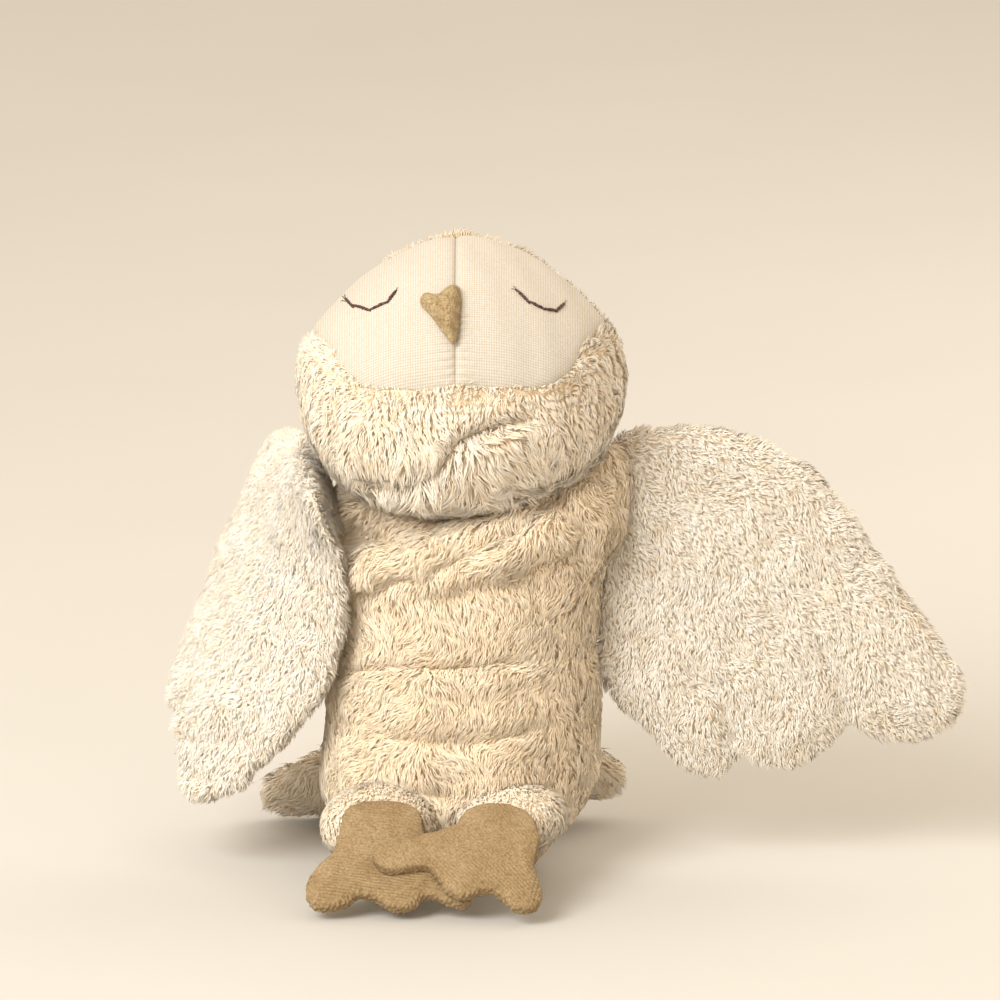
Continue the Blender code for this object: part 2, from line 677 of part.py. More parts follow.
def build_feet(materials):
    outline = mirrored([
        (u * FOOT_HALF_WIDTH, v * FOOT_LENGTH) for u, v in FOOT_OUTLINE_SHARES])
    centre = (0, FOOT_LENGTH * FOOT_MIDDLE_SHARE)
    feet = {
        "foot_right": foot_place(
            Vector((FOOT_RIGHT_ANKLE_X, ANKLE_Y, FOOT_RIGHT_ANKLE_Z)),
            FOOT_RIGHT_YAW, 0.0, FOOT_RIGHT_REST),
        "foot_left": foot_place(
            Vector((FOOT_LEFT_ANKLE_X, ANKLE_Y, FOOT_LEFT_ANKLE_Z)),
            FOOT_LEFT_YAW, FOOT_LEFT_ROLL, FOOT_LEFT_REST),
    }
    for foot, place in feet.items():
        pivot = place(0, 0, 0)
        for face, side in (("top", 1), ("sole", -1)):
            name = foot + "_" + face
            mesh = panel_mesh(name, outline, centre, FOOT_POINTS, FOOT_THICKNESS, place, side)
            new_object(name, mesh, materials["olive_velour"], pivot)


def build_tail(materials):
    """A fan of two padded panels, sewn low on the back."""
    pivot = Vector((TAIL_X, TAIL_Y, TAIL_Z))
    along = Vector((0, math.cos(TAIL_DROP), -math.sin(TAIL_DROP)))
    out = Vector((0, math.sin(TAIL_DROP), math.cos(TAIL_DROP)))
    outline = mirrored([(u * TAIL_HALF_WIDTH, v * TAIL_LENGTH) for u, v in TAIL_OUTLINE_SHARES])
    centre = (0, TAIL_LENGTH * TAIL_MIDDLE_SHARE)

    def place(u, v, height):
        return pivot + Vector((u, 0, 0)) + along * v + out * height

    for name, side in (("tail_upper", 1), ("tail_lower", -1)):
        mesh = panel_mesh(name, outline, centre, TAIL_POINTS, TAIL_THICKNESS, place, side)
        new_object(name, mesh, materials["cream_pile"], pivot)


def build():
    clear_scene()
    materials = {name: make_material(name) for name in COLOURS}
    covers, stuffing = build_body(materials)
    neck_seat = build_neck(materials, covers, stuffing)
    build_head(materials, neck_seat)
    build_beak(materials)
    build_eyes(materials)
    build_wings(materials)
    build_legs(materials, [covers[0], stuffing])
    build_feet(materials)
    build_tail(materials)


build()
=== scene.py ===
import math

import bmesh
import bpy
import numpy as np
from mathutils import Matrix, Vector
from mathutils.bvhtree import BVHTree
from mathutils.kdtree import KDTree


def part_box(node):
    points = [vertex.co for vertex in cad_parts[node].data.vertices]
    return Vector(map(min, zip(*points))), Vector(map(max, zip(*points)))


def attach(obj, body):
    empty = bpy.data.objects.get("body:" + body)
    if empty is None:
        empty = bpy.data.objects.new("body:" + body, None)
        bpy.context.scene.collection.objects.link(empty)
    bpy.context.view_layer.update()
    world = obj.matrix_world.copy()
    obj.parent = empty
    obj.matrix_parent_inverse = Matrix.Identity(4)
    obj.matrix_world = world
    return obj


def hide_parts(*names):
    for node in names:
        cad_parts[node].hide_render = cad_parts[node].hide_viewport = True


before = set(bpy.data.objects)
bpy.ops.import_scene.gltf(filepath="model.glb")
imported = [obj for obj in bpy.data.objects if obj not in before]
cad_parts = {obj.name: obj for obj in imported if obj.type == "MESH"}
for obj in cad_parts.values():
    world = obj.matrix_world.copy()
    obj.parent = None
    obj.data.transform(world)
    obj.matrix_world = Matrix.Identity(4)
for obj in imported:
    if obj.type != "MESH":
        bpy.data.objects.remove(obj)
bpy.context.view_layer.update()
print("frame loaded")

mm = 0.001
framePixels = 1000  # the photograph is square

view = {
    "target": (0.0192, 0.0, 0.208),  # what the middle of the frame looks at
    "elevation": 14.0,
    "distance": 7.0,  # far off, as the photograph shows little perspective
    "widthThere": 0.55,  # what the frame spans at the target
    "sensor": 36.0,
}

light = {
    "keyPlace": (-1.5, -2.0, 1.9),
    "keySize": 1.6,
    "keyPower": 96.0,
    "keyColour": (1.0, 0.985, 0.95),
    "fillPlace": (1.3, 1.0, 1.1),  # from behind, so that the pile's rim glows
    "fillSize": 1.6,
    "fillPower": 14.0,
    "fillColour": (1.0, 0.92, 0.82),
    "worldColour": (1.0, 0.85, 0.67),
    "worldStrength": 1.04,
    "transform": "Standard",  # keeps the cream as warm as the photograph's
}

colours = {
    # the root colour is painted shade, for the roots and for the backing between the locks
    "pileRootShade": (0.94, 0.74, 0.51),
    "pileMiddle": (0.97, 0.885, 0.75),
    "pileTip": (0.975, 0.95, 0.895),
    "knitRidge": (0.59, 0.575, 0.545),
    # the knit's valley colour is painted shade in its row valleys
    "knitValleyShade": (0.53, 0.475, 0.395),
    "velourHigh": (0.40, 0.30, 0.175),
    # the velour's low colour is painted shade in ribs, dips and nap roots
    "velourLowShade": (0.20, 0.13, 0.06),
    "beakHigh": (0.50, 0.40, 0.245),
    # the beak's low colour is painted shade in its pebbles' dips
    "beakLowShade": (0.30, 0.215, 0.115),
    "thread": (0.042, 0.015, 0.011),
    # painted highlight on the thread's raised plies
    "threadPlyHighlight": (0.11, 0.05, 0.036),
    "fibre": (0.86, 0.86, 0.84),
    "floor": (0.58, 0.57, 0.545),
}


# Frame of the photograph
def viewAxes():
    tilt = math.radians(view["elevation"])
    ahead = Vector((0, math.cos(tilt), -math.sin(tilt)))
    up = Vector((0, math.sin(tilt), math.cos(tilt)))
    return Vector((1, 0, 0)), up, ahead


def viewPlace():
    return Vector(view["target"]) - viewAxes()[2] * view["distance"]


def pixelRay(px, py):
    # the line of sight through one pixel of the photograph
    right, up, ahead = viewAxes()
    scale = view["widthThere"] / framePixels
    middle = framePixels / 2
    ray = ahead * view["distance"] + right * (px - middle) * scale + up * (middle - py) * scale
    return viewPlace(), ray.normalized()


def makeCamera():
    data = bpy.data.cameras.new("photoCamera")
    data.sensor_width = view["sensor"]
    data.lens = view["sensor"] * view["distance"] / view["widthThere"]
    data.clip_end = 100
    camera = bpy.data.objects.new("photoCamera", data)
    camera.location = viewPlace()
    camera.rotation_euler = viewAxes()[2].to_track_quat("-Z", "Y").to_euler()
    bpy.context.scene.collection.objects.link(camera)
    bpy.context.scene.camera = camera


def makeLamp(name, place, size, power, colour):
    data = bpy.data.lights.new(name, "AREA")
    data.size = size
    data.energy = power
    data.color = colour
    lamp = bpy.data.objects.new(name, data)
    lamp.location = place
    towards = Vector(view["target"]) - Vector(place)
    lamp.rotation_euler = towards.to_track_quat("-Z", "Y").to_euler()
    bpy.context.scene.collection.objects.link(lamp)


def makeLight():
    makeLamp("keyLamp", light["keyPlace"], light["keySize"], light["keyPower"], light["keyColour"])
    makeLamp("fillLamp", light["fillPlace"], light["fillSize"], light["fillPower"], light["fillColour"])
    world = bpy.data.worlds.new("softRoom")
    world.use_nodes = True
    back = world.node_tree.nodes["Background"]
    back.inputs["Color"].default_value = (*light["worldColour"], 1)
    back.inputs["Strength"].default_value = light["worldStrength"]
    bpy.context.scene.world = world
    bpy.context.scene.view_settings.view_transform = light["transform"]


# Materials
class Paint:
    # a node tree that is written in a few lines
    def __init__(self, name, roughness, sheen=0.0, specular=0.25):
        self.material = bpy.data.materials.new(name)
        self.material.use_nodes = True
        self.tree = self.material.node_tree
        self.shader = self.tree.nodes["Principled BSDF"]
        self.shader.inputs["Roughness"].default_value = roughness
        self.shader.inputs["Specular IOR Level"].default_value = specular
        self.shader.inputs["Sheen Weight"].default_value = sheen
        self.shader.inputs["Sheen Roughness"].default_value = 0.45

    def add(self, kind, **inputs):
        made = self.tree.nodes.new(kind)
        for key, value in inputs.items():
            socket = made.inputs[key.replace("_", " ")]
            if isinstance(value, bpy.types.NodeSocket):
                self.tree.links.new(value, socket)
            else:
                socket.default_value = value
        return made

    def attribute(self, name):
        made = self.tree.nodes.new("ShaderNodeAttribute")
        made.attribute_name = name
        return made.outputs["Fac"]

    def places(self):
        return self.tree.nodes.new("ShaderNodeTexCoord").outputs["Object"]

    def noise(self, scale, detail=3.0, roughness=0.6):
        made = self.add("ShaderNodeTexNoise", Vector=self.places(), Scale=scale, Detail=detail)
        made.inputs["Roughness"].default_value = roughness
        return made.outputs["Fac"]

    def ramp(self, source, stops):
        made = self.add("ShaderNodeValToRGB", Fac=source)
        elements = made.color_ramp.elements
        while len(elements) < len(stops):
            elements.new(0.5)
        for element, (place, colour) in zip(elements, stops):
            element.position = place
            element.color = (*colour, 1)
        return made.outputs["Color"]

    def multiply(self, one, other, share=1.0):
        made = self.tree.nodes.new("ShaderNodeMix")
        made.data_type = "RGBA"
        made.blend_type = "MULTIPLY"
        made.inputs["Factor"].default_value = share
        self.tree.links.new(one, made.inputs["A"])
        self.tree.links.new(other, made.inputs["B"])
        return made.outputs["Result"]

    def colour(self, source):
        self.tree.links.new(source, self.shader.inputs["Base Color"])

    def bump(self, source, strength, distance):
        made = self.add("ShaderNodeBump", Height=source, Strength=strength, Distance=distance)
        self.tree.links.new(made.outputs["Normal"], self.shader.inputs["Normal"])


def grey(value):
    return (value, value, value)


def pilePaint():
    # long pile: painted shade makes the roots dark and warm between the locks, up to pale tips, each lock
    # a little different
    paint = Paint("creamPile", 0.95, specular=0.08)
    rise = paint.ramp(paint.attribute("rise"), [
        (0.0, colours["pileRootShade"]), (0.38, colours["pileMiddle"]), (0.8, colours["pileTip"])])
    # lock tone, random per lock, pulled towards the ramp's darker end by painted shade
    lock = paint.ramp(paint.attribute("lock"), [
        (0.0, (0.90, 0.80, 0.66)), (0.35, (0.955, 0.915, 0.86)), (0.8, grey(1.0))])
    patch = paint.ramp(paint.noise(55.0), [(0.3, (0.95, 0.92, 0.87)), (0.62, grey(1.0))])
    paint.colour(paint.multiply(paint.multiply(rise, lock), patch))
    paint.bump(paint.noise(1500.0), 0.1, 0.1 * mm)
    return paint.material


def backingPaint():
    # the knitted ground that the pile grows from, painted in the shaded root colours as it lies in the
    # locks' shade
    paint = Paint("pileBacking", 0.95)
    paint.colour(paint.ramp(paint.noise(420.0), [
        (0.3, colours["pileRootShade"]), (0.7, colours["pileMiddle"])]))
    paint.bump(paint.noise(900.0), 0.5, 0.5 * mm)
    return paint.material


def knitPaint():
    # fine rows with a faint loop across them and a soft nap, with painted shade in the rows' valleys
    paint = Paint("creamKnit", 0.92, sheen=0.08, specular=0.1)
    rows = paint.ramp(paint.attribute("row"), [
        (0.05, colours["knitValleyShade"]), (0.55, colours["knitRidge"])])
    wave = paint.add("ShaderNodeTexWave", Vector=paint.places(), Scale=235.0, Distortion=1.5)
    wave.inputs["Detail"].default_value = 2.0
    loops = paint.ramp(wave.outputs["Fac"], [(0.1, (0.88, 0.82, 0.73)), (0.6, grey(1.0))])
    nap = paint.ramp(paint.noise(600.0), [(0.3, (0.93, 0.90, 0.85)), (0.6, grey(1.0))])
    paint.colour(paint.multiply(paint.multiply(rows, loops), nap))
    paint.bump(paint.noise(1500.0), 0.35, 0.25 * mm)
    return paint.material


def velourPaint(name, high, low):
    # short looped nap, with painted shade in its rib grooves, pebble dips and nap roots
    paint = Paint(name, 0.92, sheen=0.06, specular=0.1)
    rib = paint.ramp(paint.attribute("row"), [(0.0, low), (0.6, high)])
    loops = paint.ramp(paint.noise(750.0, 4.0, 0.7), [(0.34, (0.66, 0.60, 0.52)), (0.6, grey(1.0))])
    patch = paint.ramp(paint.noise(60.0), [(0.3, (0.82, 0.78, 0.72)), (0.65, grey(1.0))])
    paint.colour(paint.multiply(paint.multiply(rib, loops), patch))
    paint.bump(paint.noise(1100.0, 4.0), 0.4, 0.3 * mm)
    return paint.material


def threadPaint():
    paint = Paint("brownThread", 0.55, specular=0.4)
    # painted highlight on the twist's raised plies, darker between them
    paint.colour(paint.ramp(paint.attribute("row"), [
        (0.2, colours["thread"]), (0.95, colours["threadPlyHighlight"])]))
    paint.bump(paint.noise(3000.0), 0.3, 0.1 * mm)
    return paint.material


def fibrePaint():
    paint = Paint("fibreFill", 1.0)
    paint.colour(paint.ramp(paint.noise(300.0, 5.0), [
        (0.3, grey(0.62)), (0.65, colours["fibre"])]))
    paint.bump(paint.noise(700.0, 5.0), 0.7, 1.0 * mm)
    return paint.material


def floorPaint():
    paint = Paint("paleFloor", 0.75)
    paint.colour(paint.ramp(paint.noise(4.0), [
        (0.2, tuple(c * 0.97 for c in colours["floor"])), (0.8, colours["floor"])]))
    return paint.material


paints = {
    "pile": pilePaint(),
    "backing": backingPaint(),
    "knit": knitPaint(),
    "foot": velourPaint("oliveVelour", colours["velourHigh"], colours["velourLowShade"]),
    "beak": velourPaint("oliveBeak", colours["beakHigh"], colours["beakLowShade"]),
    "thread": threadPaint(),
    "fibre": fibrePaint(),
    "floor": floorPaint(),
}
print("materials made")


# Meshes
def newPiece(name, mesh, paint):
    mesh.materials.clear()
    mesh.materials.append(paints[paint])
    piece = bpy.data.objects.new(name, mesh)
    bpy.context.scene.collection.objects.link(piece)
    return piece


def meshFrom(name, points, faces):
    # faces all have the same number of corners
    points = np.asarray(points, np.float32).reshape(-1, 3)
    faces = np.asarray(faces, np.int32)
    mesh = bpy.data.meshes.new(name)
    mesh.vertices.add(len(points))
    mesh.vertices.foreach_set("co", points.ravel())
    corners = faces.shape[1]
    mesh.loops.add(faces.size)
    mesh.loops.foreach_set("vertex_index", faces.ravel())
    mesh.polygons.add(len(faces))
    mesh.polygons.foreach_set("loop_start", np.arange(0, faces.size, corners, dtype=np.int32))
    mesh.polygons.foreach_set("use_smooth", np.ones(len(faces), bool))
    mesh.update(calc_edges=True)
    return mesh


def setValues(mesh, name, values):
    attribute = mesh.attributes.new(name, "FLOAT", "POINT")
    attribute.data.foreach_set("value", np.asarray(values, np.float32).ravel())


def pointsOf(mesh):
    points = np.zeros(len(mesh.vertices) * 3, np.float32)
    mesh.vertices.foreach_get("co", points)
    return points.reshape(-1, 3).astype(float)


def normalsOf(mesh):
    normals = np.zeros(len(mesh.vertices) * 3, np.float32)
    mesh.vertex_normals.foreach_get("vector", normals)
    return normals.reshape(-1, 3).astype(float)


def setPoints(mesh, points):
    mesh.vertices.foreach_set("co", np.asarray(points, np.float32).ravel())
    mesh.update()


def settle(piece):
    # keeps what the modifiers make, as the piece's own mesh
    deps = bpy.context.evaluated_depsgraph_get()
    mesh = bpy.data.meshes.new_from_object(piece.evaluated_get(deps))
    old = piece.data
    piece.modifiers.clear()
    piece.data = mesh
    bpy.data.meshes.remove(old)


def keepLargest(mesh):
    # drops the bubbles that a remesh leaves inside
    shape = bmesh.new()
    shape.from_mesh(mesh)
    left = set(shape.verts)
    best = []
    while left:
        start = left.pop()
        group = [start]
        stack = [start]
        while stack:
            for edge in stack.pop().link_edges:
                for vert in edge.verts:
                    if vert in left:
                        left.remove(vert)
                        group.append(vert)
                        stack.append(vert)
        if len(group) > len(best):
            best = group
    keep = set(best)
    bmesh.ops.delete(shape, geom=[v for v in shape.verts if v not in keep], context="VERTS")
    shape.to_mesh(mesh)
    shape.free()


def clothOver(name, nodes, voxel, soften, paint, mounds=()):
    # one smooth cover over the solids of some nodes, with round mounds of stuffing
    shape = bmesh.new()
    for node in nodes:
        shape.from_mesh(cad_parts[node].data)
    for place, radii in mounds:
        ball = bmesh.ops.create_icosphere(shape, subdivisions=4, radius=1.0)["verts"]
        bmesh.ops.scale(shape, vec=radii, verts=ball)
        bmesh.ops.translate(shape, vec=place, verts=ball)
    mesh = bpy.data.meshes.new(name)
    shape.to_mesh(mesh)
    shape.free()
    piece = newPiece(name, mesh, paint)
    remesh = piece.modifiers.new("even", "REMESH")
    remesh.mode = "VOXEL"
    remesh.voxel_size = voxel
    if soften:
        smooth = piece.modifiers.new("soften", "SMOOTH")
        smooth.factor = 0.5
        smooth.iterations = soften
    settle(piece)
    keepLargest(piece.data)
    piece.data.shade_smooth()
    return piece


def puff(piece, pressure, cap):
    # pressure swells the padding against its seams, then each point's travel is capped
    before = pointsOf(piece.data)
    cloth = piece.modifiers.new("cloth", "CLOTH")
    cloth.settings.use_pressure = True
    cloth.settings.uniform_pressure_force = pressure
    cloth.settings.effector_weights.gravity = 0
    cloth.settings.quality = 5
    cloth.point_cache.frame_end = 20
    for step in range(1, 21):
        bpy.context.scene.frame_set(step)
    settle(piece)
    bpy.context.scene.frame_set(1)
    moved = pointsOf(piece.data) - before
    travel = np.linalg.norm(moved, axis=1)
    share = np.minimum(1.0, cap / np.maximum(travel, 1e-9))
    setPoints(piece.data, before + moved * share[:, None])
    piece.data.shade_smooth()


def finer(piece, levels=1):
    modifier = piece.modifiers.new("finer", "SUBSURF")
    modifier.levels = levels
    modifier.render_levels = levels
    settle(piece)
    piece.data.shade_smooth()


def treeOf(pieces):
    points = []
    faces = []
    for piece in pieces:
        start = len(points)
        points += [v.co.copy() for v in piece.data.vertices]
        faces += [[start + i for i in p.vertices] for p in piece.data.polygons]
    return BVHTree.FromPolygons(points, faces)


def onPiece(tree, line):
    # where the photograph's pixels meet a surface
    spots = []
    for px, py in line:
        hit = tree.ray_cast(*pixelRay(px, py))[0]
        if hit is not None:
            spots.append(hit)
    return spots


def pressFolds(piece, folds):
    # cloth sinks above a fold's line and rolls over it from below
    tree = treeOf([piece])
    points = pointsOf(piece.data)
    normals = normalsOf(piece.data)
    up = np.array(viewAxes()[1])
    shift = np.zeros(len(points))
    for fold in folds:
        spots = onPiece(tree, fold["pixels"])
        line = []
        for one, two in zip(spots, spots[1:]):
            steps = max(2, int((two - one).length / (1.5 * mm)))
            line += [one.lerp(two, k / steps) for k in range(steps)]
        finder = KDTree(len(line))
        for i, spot in enumerate(line):
            finder.insert(spot, i)
        finder.balance()
        sinkWidth = fold["width"]
        rollWidth = fold["roll"]
        for i, point in enumerate(points):
            spot, index, distance = finder.find(point)
            reach = 3 * max(sinkWidth, rollWidth)
            if distance > reach:
                continue
            side = float((point - np.array(spot)) @ up) * (-1 if fold.get("over") else 1)
            end = min(index, len(line) - 1 - index) / len(line)
            fade = min(1.0, fold["fade"] + 6 * end)
            sink = fold["depth"] * math.exp(-((distance / sinkWidth) ** 2))
            rolled = distance / rollWidth
            roll = fold["swell"] * rolled * math.exp(1 - rolled) * (1 if side < 0 else 0.25)
            shift[i] += fade * (roll - sink) * (1 - (distance / reach) ** 2) ** 2
    setPoints(piece.data, points + normals * shift[:, None])


def photoPlaces(points):
    # where points stand in the photograph, in its pixels
    scale = view["widthThere"] / framePixels
    away = points - np.array(view["target"])
    right, up, _ = viewAxes()
    px = framePixels / 2 + away @ np.array(right) / scale
    py = framePixels / 2 - away @ np.array(up) / scale
    return px, py


def shiftInPhoto(piece, across, down, axis=None):
    # moves points by pixels, sideways and along an axis that runs up the cloth
    scale = view["widthThere"] / framePixels
    right, up, _ = viewAxes()
    axis = up if axis is None else axis
    lift = -down * scale / up.dot(axis)
    points = pointsOf(piece.data)
    points += np.outer(across * scale, np.array(right)) + np.outer(lift, np.array(axis))
    setPoints(piece.data, points)


def drawTo(piece, pairs, reach, axis=None):
    # pulls landmarks to where the photograph has them, and the cloth between follows
    px, py = photoPlaces(pointsOf(piece.data))
    total = np.full(len(px), 0.15)
    across = np.zeros(len(px))
    down = np.zeros(len(px))
    for start, end in pairs:
        weight = np.exp(-(((px - start[0]) ** 2 + (py - start[1]) ** 2) / reach**2))
        total += weight
        across += weight * (end[0] - start[0])
        down += weight * (end[1] - start[1])
    shiftInPhoto(piece, across / total, down / total, axis)


def fitRows(piece, lefts, rights, inset, hold=0.0):
    # the outline, row by row, after the rows from top to bottom
    px, py = photoPlaces(pointsOf(piece.data))
    lefts = np.array(lefts, float)
    rights = np.array(rights, float)
    low, high = py.min(), py.max()
    top = lefts[0, 1] + inset
    bottom = lefts[-1, 1] - inset
    newPy = top + (py - low) / (high - low) * (bottom - top)
    rows = np.linspace(newPy.min(), newPy.max(), 70)
    step = rows[1] - rows[0]
    firsts = []
    lasts = []
    for row in rows:
        near = px[np.abs(newPy - row) < step * 1.2]
        firsts.append(near.min())
        lasts.append(near.max())
    smooth = np.ones(5) / 5
    firsts = np.convolve(np.pad(firsts, 2, "edge"), smooth, "valid")
    lasts = np.convolve(np.pad(lasts, 2, "edge"), smooth, "valid")
    first = np.interp(newPy, rows, firsts)
    last = np.interp(newPy, rows, lasts)
    wantFirst = np.interp(newPy, lefts[:, 1], lefts[:, 0]) + inset
    wantLast = np.interp(newPy, rights[:, 1], rights[:, 0]) - inset
    middle = (wantFirst + wantLast) / 2
    wantFirst = np.minimum(wantFirst, middle)
    wantLast = np.maximum(wantLast, middle)
    share = (px - first) / np.maximum(last - first, 1.0)
    newPx = wantFirst + share * (wantLast - wantFirst)
    shiftInPhoto(piece, (newPx - px) * (1 - hold), (newPy - py) * (1 - hold))


def addLumps(piece, height, reach, seed):
    # uneven stuffing under the cloth
    points = pointsOf(piece.data)
    lumps = height * swirl(points, reach, seed)
    setPoints(piece.data, points + normalsOf(piece.data) * lumps[:, None])


# Pile, grown as locks that taper and bend
def unit(vectors):
    return vectors / np.maximum(np.linalg.norm(vectors, axis=-1, keepdims=True), 1e-9)


def swirl(points, reach, seed):
    # a smooth wandering value from -1 to 1
    total = np.zeros(len(points))
    rng = np.random.default_rng(seed)
    for _ in range(5):
        wave = rng.normal(size=3) / reach
        total += np.sin(points @ wave * 2.2 + rng.uniform(0, 6.28))
    return total / 3.0


def sampleCover(mesh, count, rng):
    mesh.calc_loop_triangles()
    corners = np.zeros(len(mesh.loop_triangles) * 3, np.int32)
    mesh.loop_triangles.foreach_get("vertices", corners)
    corners = corners.reshape(-1, 3)
    points = pointsOf(mesh)
    normals = normalsOf(mesh)
    a, b, c = (points[corners[:, k]] for k in range(3))
    areas = np.linalg.norm(np.cross(b - a, c - a), axis=1) / 2
    pick = rng.choice(len(areas), count, p=areas / areas.sum())
    one = np.sqrt(rng.random(count))
    two = rng.random(count)
    shares = np.stack([1 - one, one * (1 - two), one * two], axis=1)
    chosen = corners[pick]
    roots = (points[chosen] * shares[:, :, None]).sum(axis=1)
    out = unit((normals[chosen] * shares[:, :, None]).sum(axis=1))
    return roots, out


def areaOf(mesh):
    return sum(p.area for p in mesh.polygons)


locks = {
    "quickShare": 0.35,
    "start": 0.3 * mm,  # above the cloth, where a lock looks for its neighbours
    "ahead": 1.15,  # how far it looks, in its own lengths
    "clear": 2.5 * mm,  # and straight up
    "shortest": 0.08,  # a lock with less room than this share is left out
    "sunk": 0.5 * mm,
    "lowest": 0.4 * mm,
    "mostLong": 19500,  # locks in one piece
    "mostShort": 48000,
}


def growPile(name, body, cover, coat, others, skip=None):
    rng = np.random.default_rng(coat["seed"])
    thin = 1.0
    count = int(areaOf(cover.data) / mm**2 * coat["perSquare"] * thin)
    roots, out = sampleCover(cover.data, count, rng)
    if skip is not None:
        stay = ~skip(roots, out)
        roots = roots[stay]
        out = out[stay]
    # which way the pile lies
    comb = coat["comb"](roots, out)
    comb = comb - out * (comb * out).sum(axis=1, keepdims=True)
    across = np.cross(out, unit(comb))
    turn = coat["wander"] * swirl(roots, coat["wanderReach"], coat["seed"])
    turn += coat["ruffle"] * swirl(roots, 6 * mm, coat["seed"] + 1)
    turn += coat["mess"] * rng.normal(size=len(roots))
    lie = unit(comb) * np.cos(turn)[:, None] + across * np.sin(turn)[:, None]
    length = coat["length"](roots, out) * rng.uniform(0.7, 1.2, len(roots))
    lift = coat["lift"](roots) if callable(coat["lift"]) else coat["lift"]
    lift = lift * rng.uniform(0.7, 1.35, len(roots))
    lift += 0.18 * swirl(roots, 9 * mm, coat["seed"] + 2)
    lift = np.clip(lift, 0.12, 3.0)
    aim = unit(out * lift[:, None] + lie)
    # room before the next piece
    room = np.ones(len(roots))
    if others is not None:
        for i in range(len(roots)):
            start = Vector(roots[i] + out[i] * locks["start"])
            ahead = length[i] * locks["ahead"]
            for way, reach in ((aim[i], ahead), (out[i], locks["clear"])):
                distance = others.ray_cast(start, Vector(way), reach)[3]
                if distance is not None:
                    room[i] = min(room[i], distance / ahead)
    keep = room > locks["shortest"]
    roots, out, aim, length = roots[keep], out[keep], aim[keep], length[keep] * room[keep]
    lie = lie[keep]
    tips = roots + aim * length[:, None]
    middles = roots + out * (length * 0.27)[:, None] + aim * (length * 0.30)[:, None]
    wave = coat["wave"] * swirl(roots, coat["waveReach"], coat["seed"] + 3)
    middles += np.cross(out, aim) * (length * wave)[:, None]
    # neighbours draw together into locks
    size = coat["lock"]
    warp = 0.35 * size * np.stack([swirl(roots, 5 * mm, k) for k in (7, 8, 9)], axis=1)
    cells = np.floor((roots + warp) / size).astype(np.int64)
    keys = cells[:, 0] * 73856093 ^ cells[:, 1] * 19349663 ^ cells[:, 2] * 83492791
    _, group = np.unique(keys, return_inverse=True)
    amount = np.bincount(group)
    shared = np.stack([np.bincount(group, tips[:, k]) / amount for k in range(3)], axis=1)
    tone = rng.random(len(amount))
    draw = (coat["clump"] * rng.uniform(0.6, 1.3, len(roots)))[:, None]
    drawn = tips + (shared[group] - tips) * draw
    middles += (drawn - tips) * 0.35
    tips = drawn
    rootOut = roots - out * locks["sunk"]
    tips[:, 2] = np.maximum(tips[:, 2], locks["lowest"])
    middles[:, 2] = np.maximum(middles[:, 2], locks["lowest"])
    # a three-sided blade, flat on top, with a bend in the middle where it is long
    axis = unit(tips - rootOut)
    side = unit(np.cross(out + 0.25 * rng.normal(size=axis.shape), axis))
    other = np.cross(axis, side)
    width = coat["width"] * rng.uniform(0.75, 1.25, len(roots))
    rings = []
    shades = []
    bent = coat["bent"]
    for centre, part in ((rootOut, 0.8), (middles, 1.0)) if bent else ((rootOut, 1.0),):
        for k in range(3):
            angle = 2 * math.pi * (k / 3 + 1 / 12)
            around = side * math.cos(angle) + other * math.sin(angle)
            rings.append(centre + around * (width * part / 2)[:, None])
            shades.append(unit(out * coat["soft"] + around))
    rings.append(tips)
    shades.append(unit(out + axis * 0.3))
    points = np.stack(rings, axis=1)
    shades = np.stack(shades, axis=1)
    # painted shade along each lock, dark at the root: base lifts the roots, paleness keeps the tips from
    # the palest
    levels = [0, 0, 0, 0.5, 0.5, 0.5, 1.0] if bent else [0.1, 0.1, 0.1, 1.0]
    rise = coat["base"] + (1 - coat["base"]) * np.tile(levels, (len(roots), 1)) * coat["paleness"]
    # painted shade: each lock's tone is random, then scaled down by the coat's painted shade share
    lockTone = (0.55 * tone[group] + 0.45 * rng.random(len(roots))) * (1 - coat["warmth"])
    # neighbouring locks share a piece, up to a fixed number of them
    most = locks["mostLong"] if bent else locks["mostShort"]
    parts = max(1, math.ceil(len(roots) / most))
    order = np.argsort(np.arctan2(roots[:, 1] - roots[:, 1].mean(), roots[:, 0] - roots[:, 0].mean()))
    for number, chosen in enumerate(np.array_split(order, parts)):
        pieceName = name if parts == 1 else name + str(number + 1)
        mesh = lockMesh(pieceName, points[chosen], shades[chosen], rise[chosen], lockTone[chosen], bent)
        piece = newPiece(pieceName, mesh, coat["paint"])
        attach(piece, body)
    print(name, len(roots), "locks in", parts)


lockFaces = [
    (0, 2, 1),
    (0, 1, 4), (0, 4, 3), (1, 2, 5), (1, 5, 4), (2, 0, 3), (2, 3, 5),
    (3, 4, 6), (4, 5, 6), (5, 3, 6),
]
shortFaces = [(0, 2, 1), (0, 1, 3), (1, 2, 3), (2, 0, 3)]


